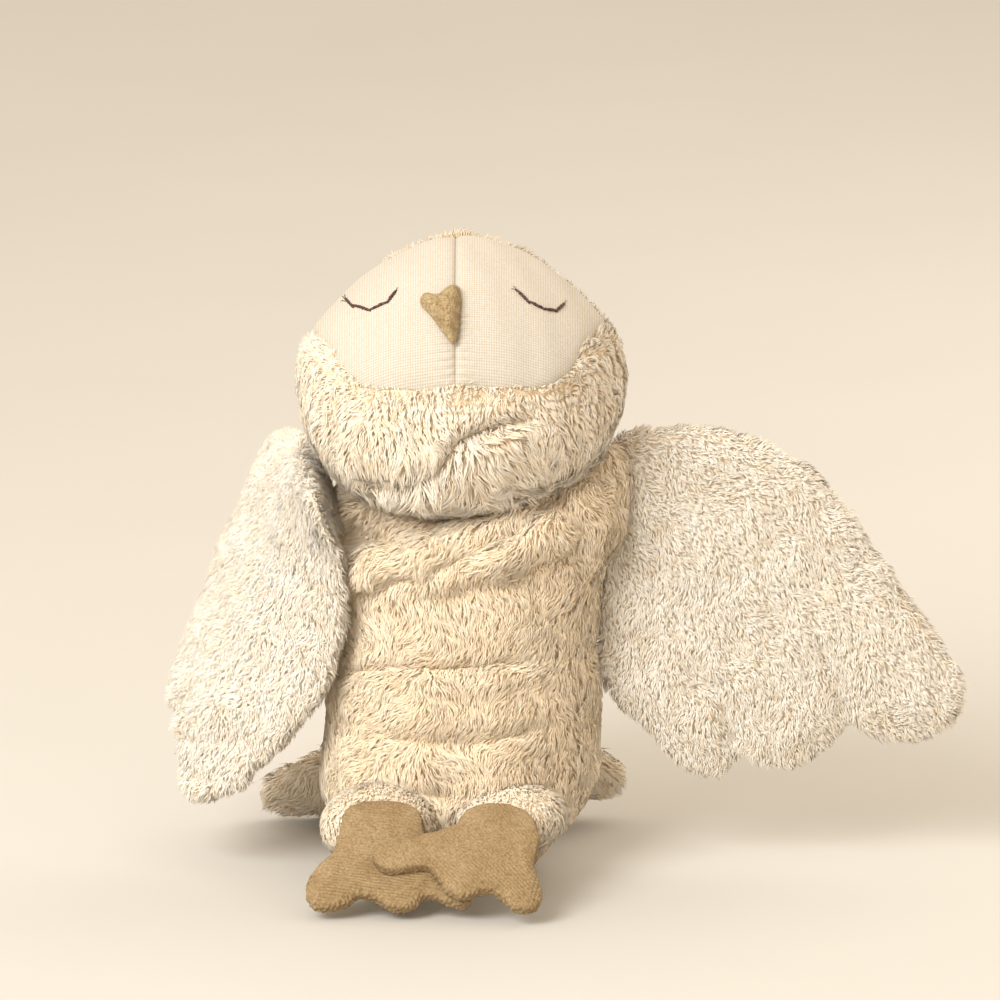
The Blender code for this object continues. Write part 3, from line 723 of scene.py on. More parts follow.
def lockMesh(name, points, shades, rise, tone, bent):
    count = len(points)
    corners = np.array(lockFaces if bent else shortFaces)
    rings = points.shape[1]
    faces = np.arange(count)[:, None, None] * rings + corners[None]
    mesh = meshFrom(name, points, faces.reshape(-1, 3))
    setValues(mesh, "rise", rise)
    setValues(mesh, "lock", np.repeat(tone, rings))
    # row: painted shade at each lock's root, read by the velour nap's paint
    setValues(mesh, "row", 0.15 + 0.6 * rise)
    # one small cell of the map for each lock, so that its colours can be kept
    grid = math.ceil(math.sqrt(count))
    cell = np.stack([np.arange(count) % grid, np.arange(count) // grid], axis=1) / grid
    inside = [(x, y) for y in ((0.05, 0.5) if bent else (0.05,)) for x in (0.1, 0.5, 0.9)]
    inside = np.array(inside + [(0.5, 0.95)]) / grid
    uv = (cell[:, None, :] + inside[None])[:, corners.ravel(), :]
    mesh.uv_layers.new(name="OFBake").data.foreach_set("uv", uv.astype(np.float32).ravel())
    # a lock is lit mostly as the pile around it is, not as a hard blade
    mesh.normals_split_custom_set_from_vertices(shades.reshape(-1, 3).astype(np.float32))
    return mesh


print("tools ready")

makeCamera()
makeLight()

# Floor, a wide pale sheet that reaches past every camera
stage = {"halfSize": 14.0, "steps": 14}


def makeStage():
    count = stage["steps"] + 1
    line = np.linspace(-stage["halfSize"], stage["halfSize"], count)
    points = [(x, y, 0.0) for y in line for x in line]
    faces = []
    for j in range(count - 1):
        for i in range(count - 1):
            a = j * count + i
            faces.append((a, a + 1, a + count + 1, a + count))
    sheet = newPiece("paleFloor", meshFrom("paleFloor", points, faces), "floor")


makeStage()
print("stage set")

# Covers
body = {
    "voxel": 3 * mm,
    "soften": 12,
    "folds": [
        {"pixels": [(349, 592), (400, 582), (450, 564), (510, 535), (548, 505), (582, 470)],
         "depth": 6 * mm, "width": 6 * mm, "swell": 0, "roll": 5 * mm, "fade": 0.5},
        {"pixels": [(340, 532), (365, 531), (392, 534)],
         "depth": 9 * mm, "width": 9 * mm, "swell": 0, "roll": 5 * mm, "fade": 0.8},
        {"pixels": [(617, 470), (616, 502), (612, 533), (605, 569), (597, 600), (592, 640)],
         "depth": 5 * mm, "width": 6 * mm, "swell": 0, "roll": 6 * mm, "fade": 0.5},
        {"pixels": [(343, 671), (387, 668), (440, 668), (484, 666), (530, 658)],
         "depth": 4.5 * mm, "width": 5 * mm, "swell": 3 * mm, "roll": 8 * mm, "fade": 0.2},
        {"pixels": [(322, 734), (365, 736), (420, 741), (473, 742), (520, 732), (560, 718)],
         "depth": 2.5 * mm, "width": 7 * mm, "swell": 1.5 * mm, "roll": 9 * mm, "fade": 0.1},
        {"pixels": [(322, 777), (408, 786), (430, 796), (517, 792), (554, 779)],
         "depth": 4 * mm, "width": 6 * mm, "swell": 1 * mm, "roll": 7 * mm, "fade": 0.3},
    ],
    "lump": 1.3 * mm,
    "lumpReach": 20 * mm,
}
body["shoulders"] = [  # place and half sizes of each mound of stuffing
    ((0.060, -0.006, 0.200), (0.027, 0.029, 0.031)),
    ((-0.050, 0.006, 0.190), (0.030, 0.032, 0.028)),
    ((0.004, 0.004, 0.190), (0.050, 0.040, 0.026)),
    ((0.074, 0.001, 0.221), (0.016, 0.017, 0.020)),
    ((-0.060, -0.022, 0.176), (0.026, 0.018, 0.016)),
    ((-0.038, -0.036, 0.179), (0.028, 0.018, 0.016)),
    ((-0.014, -0.043, 0.184), (0.028, 0.019, 0.016)),
    ((0.010, -0.044, 0.191), (0.028, 0.019, 0.016)),
    ((0.034, -0.037, 0.201), (0.026, 0.018, 0.016)),
    ((0.054, -0.020, 0.212), (0.022, 0.018, 0.017)),
]
body["tuck"] = 0.30  # how far the cloth draws in under the sides
body["tuckHeight"] = 0.05
body["sides"] = [((603, 760), (592, 758)), ((600, 700), (594, 700)), ((600, 820), (582, 806))]
wings = {"voxel": 2.4 * mm, "soften": 2}
hanging = {
    "left": [
        (278, 425), (265, 430), (250, 460), (235, 500), (215, 545), (200, 590), (185, 620), (170, 665),
        (163, 691), (161, 706), (164, 728), (174, 740), (173, 751), (178, 775), (181, 797), (196, 804),
    ],
    "right": [
        (285, 425), (308, 431), (320, 455), (330, 480), (340, 510), (346, 540), (350, 570), (348, 600),
        (350, 625), (343, 650), (329, 694), (297, 734), (269, 762), (257, 782), (224, 798), (200, 804),
    ],
    "inset": 7,
}
head = {
    "voxel": 3 * mm, "soften": 4, "peak": 3.5 * mm, "slim": 0.07,
    "chin": [  # the chin sags further than the stuffing holds it
        ((335, 430), (334, 438)), ((355, 460), (350, 478)), ((400, 485), (395, 508)),
        ((450, 493), (448, 514)), ((500, 490), (504, 505)), ((560, 462), (562, 472)),
    ],
    "folds": [
        {"pixels": [(335, 462), (370, 474), (410, 478), (440, 468), (458, 440), (490, 428), (530, 417)],
         "depth": 7.5 * mm, "width": 6 * mm, "swell": 3 * mm, "roll": 9 * mm, "fade": 0.2, "over": True},
        {"pixels": [(500, 480), (526, 486), (555, 478), (585, 455)],
         "depth": 3.5 * mm, "width": 5 * mm, "swell": 0, "roll": 6 * mm, "fade": 0.2},
    ],
}

bodyCover = clothOver(
    "bodyCover", ["body_front", "body_back", "body_stuffing"], body["voxel"], body["soften"], "backing",
    body["shoulders"])


def tuckUnder(piece):
    points = pointsOf(piece.data)
    low = np.clip(1 - points[:, 2] / body["tuckHeight"], 0, 1) ** 1.6
    points[:, 0] *= 1 - body["tuck"] * low
    setPoints(piece.data, points)


def raisePeak(piece):
    # the head's top rises to a blunt point, with slimmer slopes beside it
    points = pointsOf(piece.data)
    high = np.clip((points[:, 2] - 0.30) / 0.05, 0, 1)
    side = np.clip(np.abs(points[:, 0] + 0.005) / 0.07, 0, 1)
    points[:, 2] += head["peak"] * high * (1 - side)
    points[:, 0] *= 1 - head["slim"] * high * side
    setPoints(piece.data, points)


tuckUnder(bodyCover)
drawTo(bodyCover, body["sides"], 50)
finer(bodyCover)
addLumps(bodyCover, body["lump"], body["lumpReach"], 41)
pressFolds(bodyCover, body["folds"])
headCover = clothOver(
    "headCover", ["head_cover", "face_left", "face_right", "head_stuffing"], head["voxel"],
    head["soften"], "backing")
raisePeak(headCover)
drawTo(headCover, head["chin"], 34)
finer(headCover)
addLumps(headCover, 0.8 * mm, 20 * mm, 42)
pressFolds(headCover, head["folds"])
wingLeft = clothOver(
    "wingSpreadCover", ["wing_left_upper", "wing_left_lower"], wings["voxel"], wings["soften"], "backing")
wingRight = clothOver(
    "wingHangingCover", ["wing_right_upper", "wing_right_lower"], wings["voxel"], wings["soften"],
    "backing")
fitRows(wingRight, hanging["left"], hanging["right"], hanging["inset"])
wingLobes = [
    {"pixels": [(843, 708), (840, 690), (832, 668), (820, 645)],
     "depth": 3.5 * mm, "width": 5 * mm, "swell": 0, "roll": 6 * mm, "fade": 1.0},
    {"pixels": [(732, 740), (729, 722), (722, 700), (714, 680)],
     "depth": 3 * mm, "width": 5 * mm, "swell": 0, "roll": 6 * mm, "fade": 1.0},
]
pressFolds(wingLeft, wingLobes)
addLumps(wingLeft, 0.9 * mm, 16 * mm, 43)
addLumps(wingRight, 0.9 * mm, 16 * mm, 44)
leg = {"voxel": 2 * mm, "swell": 2.8 * mm, "lowest": 0.4 * mm}


def makeLeg(name, node):
    piece = clothOver(name, [node], leg["voxel"], 2, "backing")
    setPoints(piece.data, pointsOf(piece.data) + normalsOf(piece.data) * leg["swell"])
    return piece


legLeft = makeLeg("legLeftCover", "leg_left")
legRight = makeLeg("legRightCover", "leg_right")
drawTo(legLeft, [((582, 850), (566, 838)), ((560, 880), (548, 860)), ((590, 820), (582, 812))], 26)
tailCover = clothOver("tailCover", ["tail_upper", "tail_lower"], wings["voxel"], 2, "backing")
drawTo(tailCover, [((290, 770), (282, 792)), ((600, 775), (606, 778)), ((450, 760), (450, 770))], 60)


def keepOffFloor(piece):
    points = pointsOf(piece.data)
    points[:, 2] = np.maximum(points[:, 2], leg["lowest"])
    setPoints(piece.data, points)


for cover in (bodyCover, wingLeft, wingRight, legLeft, legRight, tailCover):
    keepOffFloor(cover)
print("covers made")

# Feet, padded panels that lean from the cuffs down to the floor
foot = {
    "ankle": (-0.070, 0.0526),  # y and z of the panel's middle at the cuff
    "toes": (-0.118, 0.0050),
    "thick": 8.5 * mm,
    "voxel": 1.8 * mm,
    "soften": 5,
    "pressure": 4.0,
    "cap": 2.0 * mm,
    "rib": 1.8 * mm,
    "ribDepth": 0.32 * mm,
    "pebble": 0.5 * mm,
    "frontPixels": 15,  # how far up the toes' rounded fronts reach
    "frontDrop": 3.0 * mm,
    "leftOutline": [
        (456, 824), (463, 813), (474, 807), (492, 804), (511, 806), (526, 812), (536, 822), (541, 839),
        (538, 855), (536, 869), (541, 883), (544, 897), (538, 909), (526, 913), (513, 910), (503, 901),
        (491, 894), (480, 895), (470, 899), (457, 900), (445, 893), (437, 880), (427, 870), (410, 870),
        (392, 873), (379, 870), (371, 859), (375, 850), (385, 846), (410, 838), (435, 831),
    ],
    "rightOutline": [
        (343, 815), (350, 807), (366, 803), (389, 802), (410, 806), (421, 814), (425, 832), (431, 852),
        (441, 870), (457, 884), (470, 892), (474, 901), (466, 907), (449, 905), (437, 899), (424, 898),
        (417, 908), (404, 912), (388, 910), (375, 901), (359, 898), (345, 907), (325, 911), (311, 908),
        (305, 896), (307, 880), (318, 866), (331, 854), (337, 838),
    ],
}


def fromOutline(points, outline):
    # how many pixels of the photograph lie between points and an outline
    px, py = photoPlaces(points)
    best = np.full(len(px), 1e9)
    for (ax, ay), (bx, by) in zip(outline, outline[1:] + outline[:1]):
        dx, dy = bx - ax, by - ay
        share = np.clip(((px - ax) * dx + (py - ay) * dy) / (dx * dx + dy * dy), 0, 1)
        best = np.minimum(best, np.hypot(px - ax - share * dx, py - ay - share * dy))
    return best


def makeFoot(name, outline, depth, ribAxis):
    ankle = Vector((0, *foot["ankle"]))
    toes = Vector((0, *foot["toes"]))
    slope = (toes - ankle).normalized()
    normal = Vector((1, 0, 0)).cross(slope).normalized()
    if normal.z < 0:
        normal = -normal
    shape = bmesh.new()
    corners = []
    for px, py in outline:
        start, ray = pixelRay(px, py)
        reach = (ankle + normal * depth - start).dot(normal) / ray.dot(normal)
        corners.append(shape.verts.new(start + ray * reach - normal * foot["thick"] / 2))
    sole = shape.faces.new(corners)
    top = bmesh.ops.extrude_face_region(shape, geom=[sole])["geom"]
    raised = [v for v in top if isinstance(v, bmesh.types.BMVert)]
    bmesh.ops.translate(shape, vec=normal * foot["thick"], verts=raised)
    bmesh.ops.triangulate(shape, faces=shape.faces)
    bmesh.ops.recalc_face_normals(shape, faces=shape.faces)
    mesh = bpy.data.meshes.new(name)
    shape.to_mesh(mesh)
    shape.free()
    piece = newPiece(name, mesh, "foot")
    even = piece.modifiers.new("even", "REMESH")
    even.mode = "VOXEL"
    even.voxel_size = foot["voxel"]
    smooth = piece.modifiers.new("soften", "SMOOTH")
    smooth.factor = 0.5
    smooth.iterations = foot["soften"]
    settle(piece)
    puff(piece, foot["pressure"], foot["cap"])
    finer(piece, 2)
    points = pointsOf(piece.data)
    forward = np.clip((foot["ankle"][1] - points[:, 2]) / (foot["ankle"][1] - foot["toes"][1]), 0, 1)
    near = 1 - np.clip(fromOutline(points, outline) / foot["frontPixels"], 0, 1)
    near *= np.clip((forward - 0.5) / 0.15, 0, 1)
    facing = np.clip(normalsOf(piece.data) @ np.array(normal) + 0.3, 0, 1)
    points -= np.array(normal) * (foot["frontDrop"] * near**2 * facing)[:, None]
    points[:, 2] = np.maximum(points[:, 2], 0.5 * mm)
    setPoints(piece.data, points)
    normals = normalsOf(piece.data)
    phase = (points @ np.array(ribAxis) + 0.5 * mm * swirl(points, 14 * mm, 3)) / foot["rib"]
    ridge = 0.5 + 0.5 * np.cos(2 * math.pi * phase)
    lower = 0.25 + 0.75 * np.clip((forward - 0.35) / 0.3, 0, 1)  # ribs show where the nap bends
    front = np.clip(near * 2.2, 0, 1)
    pebbles = swirl(points, 1.1 * mm, 5)
    lifted = foot["ribDepth"] * (ridge - 0.5) * lower * (1 - front) + foot["pebble"] * pebbles * front
    setPoints(piece.data, points + normals * lifted[:, None])
    # painted shade in the rib grooves and pebble dips, and the toes' rounded fronts painted lighter
    tone = 0.55 + 0.4 * (ridge - 0.5) * lower * (1 - front) + front * (0.3 + 0.3 * pebbles)
    setValues(piece.data, "row", np.clip(tone, 0, 1))
    return piece


footLeft = makeFoot("footLeftVelour", foot["leftOutline"], 9.5 * mm, (0.75, 0.33, 0.57))
footRight = makeFoot("footRightVelour", foot["rightOutline"], 0.0, (0.15, 0.65, 0.74))
print("feet made")

# Face
face = {
    "tilt": math.radians(52),
    "halfWidth": 0.0855,
    "halfHeight": 0.054,
    "edgePixels": [
        (454, 389), (500, 389), (540, 389), (558, 386), (570, 377), (580, 363), (588, 349), (597, 340),
    ],
    "widest": 0.012,  # how far above the middle the panel is widest
    "leftShare": 0.945,  # the owl's left panel ends before the contour
    "leftTaper": 0.16,  # and more so towards the crown
    "seamX": -0.005,
    "rows": 84,
    "samplesPerRow": 4,
    "columns": 42,
    "rowDepth": 0.16 * mm,
    "pad": 2.6 * mm,
    "seamWidth": 2.4 * mm,
    "stitch": 3.6 * mm,
    "beakFoot": -0.018,  # the seam's stitches show below the beak
    "inset": 1.0 * mm,
}
headMiddle = sum(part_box("head_stuffing"), Vector()) / 2


def faceAxes():
    out = Vector((0, -math.cos(face["tilt"]), math.sin(face["tilt"])))
    across = Vector((1, 0, 0))
    return across, out.cross(across), out


def traceFaceEdge():
    # the lower edge as the photograph shows it, then an arc over the head's top
    across, up, _ = faceAxes()
    traced = []
    for spot in onPiece(treeOf([headCover]), face["edgePixels"]):
        away = spot - headMiddle
        traced.append((away.dot(up), away.dot(across) - face["seamX"] * 0.5))
    lowest = min(v for v, u in traced)
    traced[0] = (lowest - 0.1 * mm, 0.0)
    widest = face["widest"]
    traced.append((widest, face["halfWidth"]))
    for k in range(1, 25):
        angle = math.pi / 2 * k / 24
        traced.append((
            widest + (face["halfHeight"] - widest) * math.sin(angle),
            face["halfWidth"] * math.cos(angle) ** 0.9))
    traced.sort()
    return np.array(traced)


def faceWidthAt(v):
    return np.interp(v, faceEdge[:, 0], faceEdge[:, 1], left=0.0, right=0.0)


def leftShareAt(v):
    high = (v - face["widest"]) / (face["halfHeight"] - face["widest"])
    return face["leftShare"] - face["leftTaper"] * np.clip(high, 0, 1)


def insideFace(points, margin):
    across, up, out = faceAxes()
    away = points - np.array(headMiddle)
    u = away @ np.array(across)
    v = away @ np.array(up)
    front = away @ np.array(out) > 0
    wide = faceWidthAt(v) * np.where(u > 0, leftShareAt(v), 1.0)
    return front & (np.abs(u) < wide - margin) & (faceWidthAt(v - margin) > 0)


def makeFacePanel(name, left):
    across, up, out = faceAxes()
    tree = treeOf([headCover])
    seam = face["seamX"] - headMiddle.x
    count = face["rows"] * face["samplesPerRow"]
    columns = face["columns"]
    low, high = faceEdge[0, 0], faceEdge[-1, 0]
    fronts = []
    backs = []
    rowValues = []
    for j in range(count + 1):
        share = j / count
        v = low + (high - low) * (0.001 + 0.998 * share)
        wide = float(faceWidthAt(v)) * (float(leftShareAt(v)) if left else 1.0)
        far = wide if left else -wide
        ridge = 0.5 + 0.5 * math.cos(2 * math.pi * j / face["samplesPerRow"])
        for i in range(columns + 1):
            t = i / columns
            u = seam + (far - seam) * t
            start = headMiddle + across * u + up * v + out * 0.2
            spot, normal, _, _ = tree.ray_cast(start, -out)
            if spot is None:
                spot, normal, _, _ = tree.find_nearest(headMiddle + across * u + up * v + out * 0.05)
            fromSeam = abs(u - seam)
            fromEdge = min(abs(wide - abs(u)), high - v, v - low)
            gather = 1 + 0.45 * math.sin(2 * math.pi * v / face["stitch"]) * (v < face["beakFoot"])
            puffed = face["pad"] * (1 - math.exp(-fromSeam / face["seamWidth"] * gather))
            puffed *= 1 - math.exp(-max(fromEdge, 0) / (4 * mm))
            lift = 0.35 * mm + puffed + face["rowDepth"] * ridge
            fronts.append(spot + normal * lift)
            backs.append(spot - normal * face["inset"])
            # row: 1 on a row's ridge, 0 in its valley, where the knit's paint lays painted shade
            rowValues.append(ridge)
    size = columns + 1
    total = (count + 1) * size
    faces = []
    for j in range(count):
        for i in range(columns):
            a = j * size + i
            quad = (a, a + 1, a + size + 1, a + size)
            faces.append(quad if left else quad[::-1])
            back = tuple(total + k for k in quad)
            faces.append(back[::-1] if left else back)
    border = [i for i in range(size)]
    border += [j * size + columns for j in range(1, count + 1)]
    border += [count * size + i for i in range(columns - 1, -1, -1)]
    border += [j * size for j in range(count - 1, 0, -1)]
    for one, two in zip(border, border[1:] + border[:1]):
        rim = (one, total + one, total + two, two)
        faces.append(rim if left else rim[::-1])
    mesh = meshFrom(name, [tuple(p) for p in fronts + backs], faces)
    setValues(mesh, "row", rowValues + [0.5] * total)
    return newPiece(name, mesh, "knit")


faceEdge = traceFaceEdge()
faceLeft = makeFacePanel("faceLeftKnit", True)
faceRight = makeFacePanel("faceRightKnit", False)
print("face made")

# Beak
beak = {"voxel": 1.2 * mm, "pressure": 4.0, "cap": 1.2 * mm}
beakPad = clothOver("beakVelour", ["beak"], beak["voxel"], 4, "beak")
drawTo(beakPad, [
    ((443, 278), (443, 290)), ((426, 288), (424, 300)), ((461, 288), (458, 297)),
    ((455, 330), (454, 342)), ((440, 310), (438, 321)), ((462, 310), (458, 320)),
], 14, faceAxes()[1])
puff(beakPad, beak["pressure"], beak["cap"])
finer(beakPad)
drawTo(beakPad, [
    ((437, 289), (437, 295)), ((424, 294), (422, 295)), ((452, 287), (455, 284)), ((430, 320), (430, 318)),
], 6, faceAxes()[1])
pressFolds(beakPad, [
    {"pixels": [(437, 295), (439, 301), (442, 310)],
     "depth": 1.5 * mm, "width": 2.2 * mm, "swell": 0, "roll": 2 * mm, "fade": 0.7}])


def roughenBeak():
    points = pointsOf(beakPad.data)
    normals = normalsOf(beakPad.data)
    pebbles = swirl(points, 1.1 * mm, 15)
    setPoints(beakPad.data, points + normals * (0.2 * mm * pebbles)[:, None])
    # painted shade in the pebbles' dips, lighter on their tops
    setValues(beakPad.data, "row", np.clip(0.55 + 0.45 * pebbles, 0, 1))


roughenBeak()
print("beak made")

# Eyes, one thread each, in long stitches
eye = {
    "radius": 0.85 * mm,
    "sides": 9,
    "twist": 3.4 * mm,
    "rightPixels": [
        ((345, 298), (354, 308)), ((352, 305), (371, 311)), ((369, 310.5), (389, 302)),
        ((387, 303.5), (397, 290)),
    ],
    "leftPixels": [
        ((515, 289), (530, 304)), ((528, 301.5), (545, 310)), ((543, 309), (558, 311.5)),
        ((555, 312), (565, 303)),
    ],
    "loose": [  # fibres that stand off the ends
        ((346, 300), (342, 296)), ((346, 300), (345, 294)), ((347, 302), (341, 301)),
        ((396, 292), (398, 287)), ((516, 290), (513, 286)), ((517, 291), (511, 289)),
        ((564, 304), (566, 300)),
    ],
    "fibre": 0.16 * mm,
}


def makeEye(name, node, stitches):
    tree = treeOf([faceLeft, faceRight])
    points = []
    faces = []
    rows = []
    sides = eye["sides"]
    for start, end in stitches + eye["loose"]:
        if min(abs(start[0] - s[0][0]) for s in stitches) > 60:
            continue
        thick = eye["radius"] if (start, end) in stitches else eye["fibre"]
        one, two = onPiece(tree, [start, end])
        steps = max(8, int((two - one).length / (0.5 * mm)))
        base = len(points)
        along = (two - one).normalized()
        for k in range(steps + 1):
            t = k / steps
            spot = one.lerp(two, t)
            normal = tree.find_nearest(spot)[1]
            arch = math.sin(math.pi * t)
            radius = thick * (0.5 + 0.5 * arch**0.4)
            centre = spot + normal * (-0.2 * mm + 0.9 * mm * arch**0.6)
            side = along.cross(normal).normalized()
            top = side.cross(along).normalized()
            for i in range(sides):
                angle = 2 * math.pi * i / sides
                turn = angle * 2 + 2 * math.pi * t * (two - one).length / eye["twist"]
                bulge = 1 + 0.16 * math.cos(turn)
                points.append(centre + (side * math.cos(angle) + top * math.sin(angle)) * radius * bulge)
                # painted highlight where the twist's plies bulge
                rows.append(0.5 + 0.5 * math.cos(turn))
        for k in range(steps):
            for i in range(sides):
                j = (i + 1) % sides
                a = base + k * sides
                faces.append((a + i, a + j, a + sides + j))
                faces.append((a + i, a + sides + j, a + sides + i))
        for k, outwards in ((0, False), (steps, True)):
            centre = len(points)
            ring = base + k * sides
            points.append(sum((points[ring + i] for i in range(sides)), Vector()) / sides)
            rows.append(0.5)
            for i in range(sides):
                j = (i + 1) % sides
                tri = (centre, ring + i, ring + j)
                faces.append(tri if outwards else tri[::-1])
    mesh = meshFrom(name, [tuple(p) for p in points], faces)
    setValues(mesh, "row", rows)
    piece = newPiece(name, mesh, "thread")
    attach(piece, "head")
    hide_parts(node)


makeEye("eyeThreadLeft", "eye_thread_left", eye["leftPixels"])
makeEye("eyeThreadRight", "eye_thread_right", eye["rightPixels"])
print("eyes stitched")

# Stuffing
stuffing = {"voxel": 5 * mm, "lump": 1.0 * mm, "lumpReach": 9 * mm, "inset": 4.0 * mm}


def makeStuffing(name, node, ridesOn):
    piece = clothOver(name, [node], stuffing["voxel"], 2, "fibre")
    if node == "body_stuffing":
        tuckUnder(piece)
        drawTo(piece, body["sides"], 50)
    points = pointsOf(piece.data)
    normals = normalsOf(piece.data)
    lumps = stuffing["lump"] * swirl(points, stuffing["lumpReach"], 21) - stuffing["inset"]
    setPoints(piece.data, points + normals * lumps[:, None])
    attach(piece, ridesOn)
    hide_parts(node)


makeStuffing("bodyFibre", "body_stuffing", "body")
makeStuffing("headFibre", "head_stuffing", "head")
makeStuffing("neckFibre", "neck_stuffing", "neck")
print("stuffing made")

# Pile
everyCover = {
    "body": [bodyCover],
    "head": [headCover, faceLeft, faceRight],
    "wing_left": [wingLeft],
    "wing_right": [wingRight],
    "leg_left": [legLeft],
    "leg_right": [legRight],
    "foot_left": [footLeft],
    "foot_right": [footRight],
    "tail": [tailCover],
}


def othersThan(bodyName):
    return treeOf([p for name, group in everyCover.items() if name != bodyName for p in group])


def constant(value):
    return lambda roots, out: np.full(len(roots), value)


def combTowards(direction):
    return lambda roots, out: np.tile(np.array(direction, float), (len(roots), 1))


def coatOf(**changes):
    coat = {
        "perSquare": 0.85, "width": 0.72 * mm, "length": constant(8.5 * mm), "lift": 0.38,
        "comb": combTowards((-0.30, 0, -1)), "wander": 0.6, "wanderReach": 20 * mm,
        "ruffle": 0.35, "mess": 0.22, "lock": 2.8 * mm, "clump": 0.5, "paint": "pile", "seed": 1,
        "wave": 0.35, "waveReach": 7 * mm, "bent": True, "soft": 2.6, "paleness": 1.0, "base": 0.0,
        "warmth": 0.0,
    }
    coat.update(changes)
    return coat


def headComb(roots, out):
    # away from the face, and down under it
    across, up, face_out = faceAxes()
    away = roots - np.array(headMiddle)
    lie = away - np.outer(away @ np.array(face_out), np.array(face_out))
    lie = unit(lie) + np.array([0, 0, -0.55])
    # tufts by the seam fall over the face
    over = insideFace(roots, -6 * mm) & (swirl(roots, 6 * mm, 61) > -0.1)
    return np.where(over[:, None], -0.8 * lie, lie)


def headLength(roots, out):
    low = np.clip((0.275 - roots[:, 2]) / 0.04, 0, 1)
    front = np.clip((0.02 - roots[:, 1]) / 0.04, 0, 1)
    crown = np.clip((roots[:, 2] - 0.325) / 0.012, 0, 1)
    return (6.0 + 8.0 * low * front + 3.0 * low + 3.0 * crown) * mm


def headSkip(roots, out):
    return insideFace(roots, 2.0 * mm)


def wingComb(name):
    low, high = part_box(name)
    middle = (low + high) / 2

    def comb(roots, out):
        if name.startswith("wing_left"):
            root = np.array([low.x, middle.y, high.z - 0.02])
        else:
            root = np.array([high.x - 0.03, middle.y, high.z])
        return unit(roots - root) + np.array([0.0, 0.0, -0.45])

    return comb


def tailComb(roots, out):
    return unit(roots - np.array([-0.012, 0.045, 0.10]))


def legLength(roots, out):
    # short on the cuffs, with a fringe on the owl's left
    return (4.6 + 4.0 * np.clip((roots[:, 0] - 0.04) / 0.015, 0, 1)) * mm


def legComb(roots, out):
    return np.tile(np.array([0.0, -0.55, -1.0]), (len(roots), 1)) + 0.5 * out


undercoat = {  # shares of what the long locks have
    "length": 0.72,
    "perSquare": 0.95,
    "width": 0.62,
    "mess": 1.6,
    # the short locks stop short of the palest tip colour: painted shade under the long locks
    "paleness": 0.85,
    "seedStep": 50,
}


def growCoat(name, body, cover, skip=None, **changes):
    # long locks, and finer short ones between them
    others = othersThan(body)
    coat = coatOf(**changes)
    growPile(name + "Pile", body, cover, coat, others, skip)
    under = dict(coat)
    under["length"] = lambda roots, out: coat["length"](roots, out) * undercoat["length"]
    under.update(
        bent=False, perSquare=coat["perSquare"] * undercoat["perSquare"],
        width=coat["width"] * undercoat["width"], mess=coat["mess"] * undercoat["mess"],
        seed=coat["seed"] + undercoat["seedStep"], paleness=undercoat["paleness"])
    growPile(name + "Under", body, cover, under, others, skip)


def headLift(roots):
    # stands up where the face ends
    crown = np.clip((roots[:, 2] - 0.295) / 0.03, 0, 1)
    return 0.6 + 1.2 * np.maximum(crown, insideFace(roots, -6 * mm))


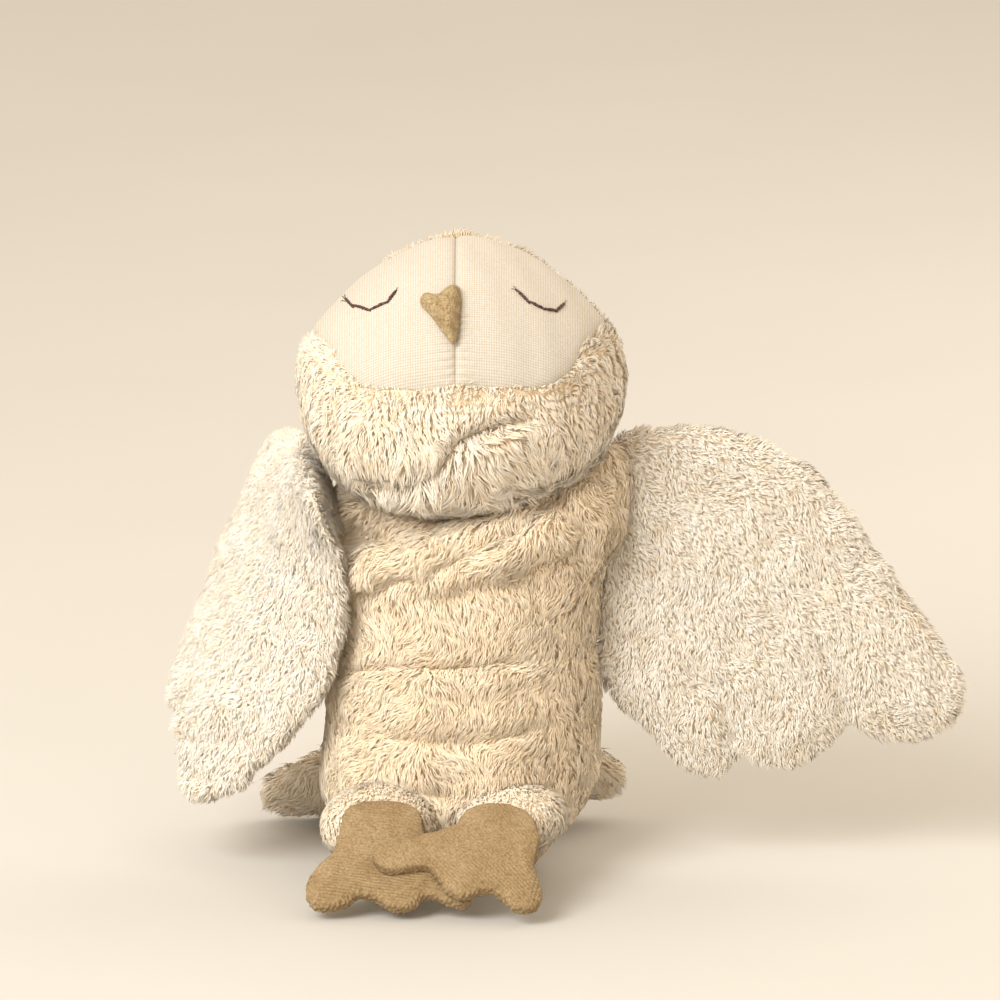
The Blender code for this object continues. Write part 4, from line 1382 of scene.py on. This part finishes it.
# the painted shade share, with a lower paleness on the body, darkens the pile of parts that lie in shade:
# the body under the head, the head a little, the tail behind the body, the right leg's cuff more than the
# left's
growCoat("body", "body", bodyCover, seed=11, wander=0.9, width=0.62 * mm, perSquare=0.95, clump=0.55,
         warmth=0.65, paleness=0.85)
growCoat("head", "head", headCover, headSkip, seed=12, comb=headComb, length=headLength, lift=headLift,
         lock=4.4 * mm, clump=0.68, width=0.66 * mm, wave=0.5, perSquare=0.95, warmth=0.3)
growCoat("wingSpread", "wing_left", wingLeft, seed=13, comb=wingComb("wing_left_upper"), lift=0.95,
         length=constant(6.5 * mm), lock=2.4 * mm, mess=0.5, perSquare=1.2, width=0.6 * mm,
         soft=3.5, base=0.5)
growCoat("wingHanging", "wing_right", wingRight, seed=14, comb=wingComb("wing_right_upper"), lift=0.95,
         length=constant(6.5 * mm), lock=2.4 * mm, mess=0.5, perSquare=1.2, width=0.6 * mm,
         soft=3.5, base=0.5)
growCoat("legLeft", "leg_left", legLeft, seed=15, comb=legComb, length=legLength, lift=0.6, warmth=0.3)
growCoat("legRight", "leg_right", legRight, seed=16, comb=legComb, length=legLength, lift=0.6, warmth=0.5)
growCoat("tail", "tail", tailCover, seed=17, comb=tailComb, length=constant(9 * mm), lift=0.6, warmth=0.5)

# Short nap on feet and beak
nap = {
    "perSquare": 1.7, "width": 0.34 * mm, "length": constant(0.8 * mm), "lift": 0.9,
    "comb": combTowards((0.2, -0.6, -1)), "wander": 1.2, "wanderReach": 8 * mm, "ruffle": 0.6,
    "mess": 0.6, "lock": 1.4 * mm, "clump": 0.3, "paint": "foot", "seed": 31,
    "wave": 0.0, "waveReach": 7 * mm, "bent": False, "soft": 1.6, "paleness": 1.0, "base": 0.0,
    "warmth": 0.0,
}
growPile("footLeftNap", "foot_left", footLeft, nap, othersThan("foot_left"))
growPile("footRightNap", "foot_right", footRight, dict(nap, seed=32), othersThan("foot_right"))
growPile("beakNap", "head", beakPad, dict(nap, seed=33, paint="beak", perSquare=1.5), None)

# What each cover rides on and stands for
ridings = [
    (bodyCover, "body", ["body_front", "body_back"], 0.85),
    (headCover, "head", ["head_cover"], 0.9),
    (faceLeft, "head", ["face_left"], None),
    (faceRight, "head", ["face_right"], None),
    (beakPad, "head", ["beak"], 0.8),
    (wingLeft, "wing_left", ["wing_left_upper", "wing_left_lower"], 0.5),
    (wingRight, "wing_right", ["wing_right_upper", "wing_right_lower"], 0.5),
    (legLeft, "leg_left", ["leg_left"], 0.7),
    (legRight, "leg_right", ["leg_right"], 0.7),
    (footLeft, "foot_left", ["foot_left_top", "foot_left_sole"], 0.6),
    (footRight, "foot_right", ["foot_right_top", "foot_right_sole"], 0.6),
    (tailCover, "tail", ["tail_upper", "tail_lower"], 0.5),
]
for piece, bodyName, nodes, fill in ridings:
    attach(piece, bodyName)
    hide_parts(*nodes)
print("pieces joined to their bodies")
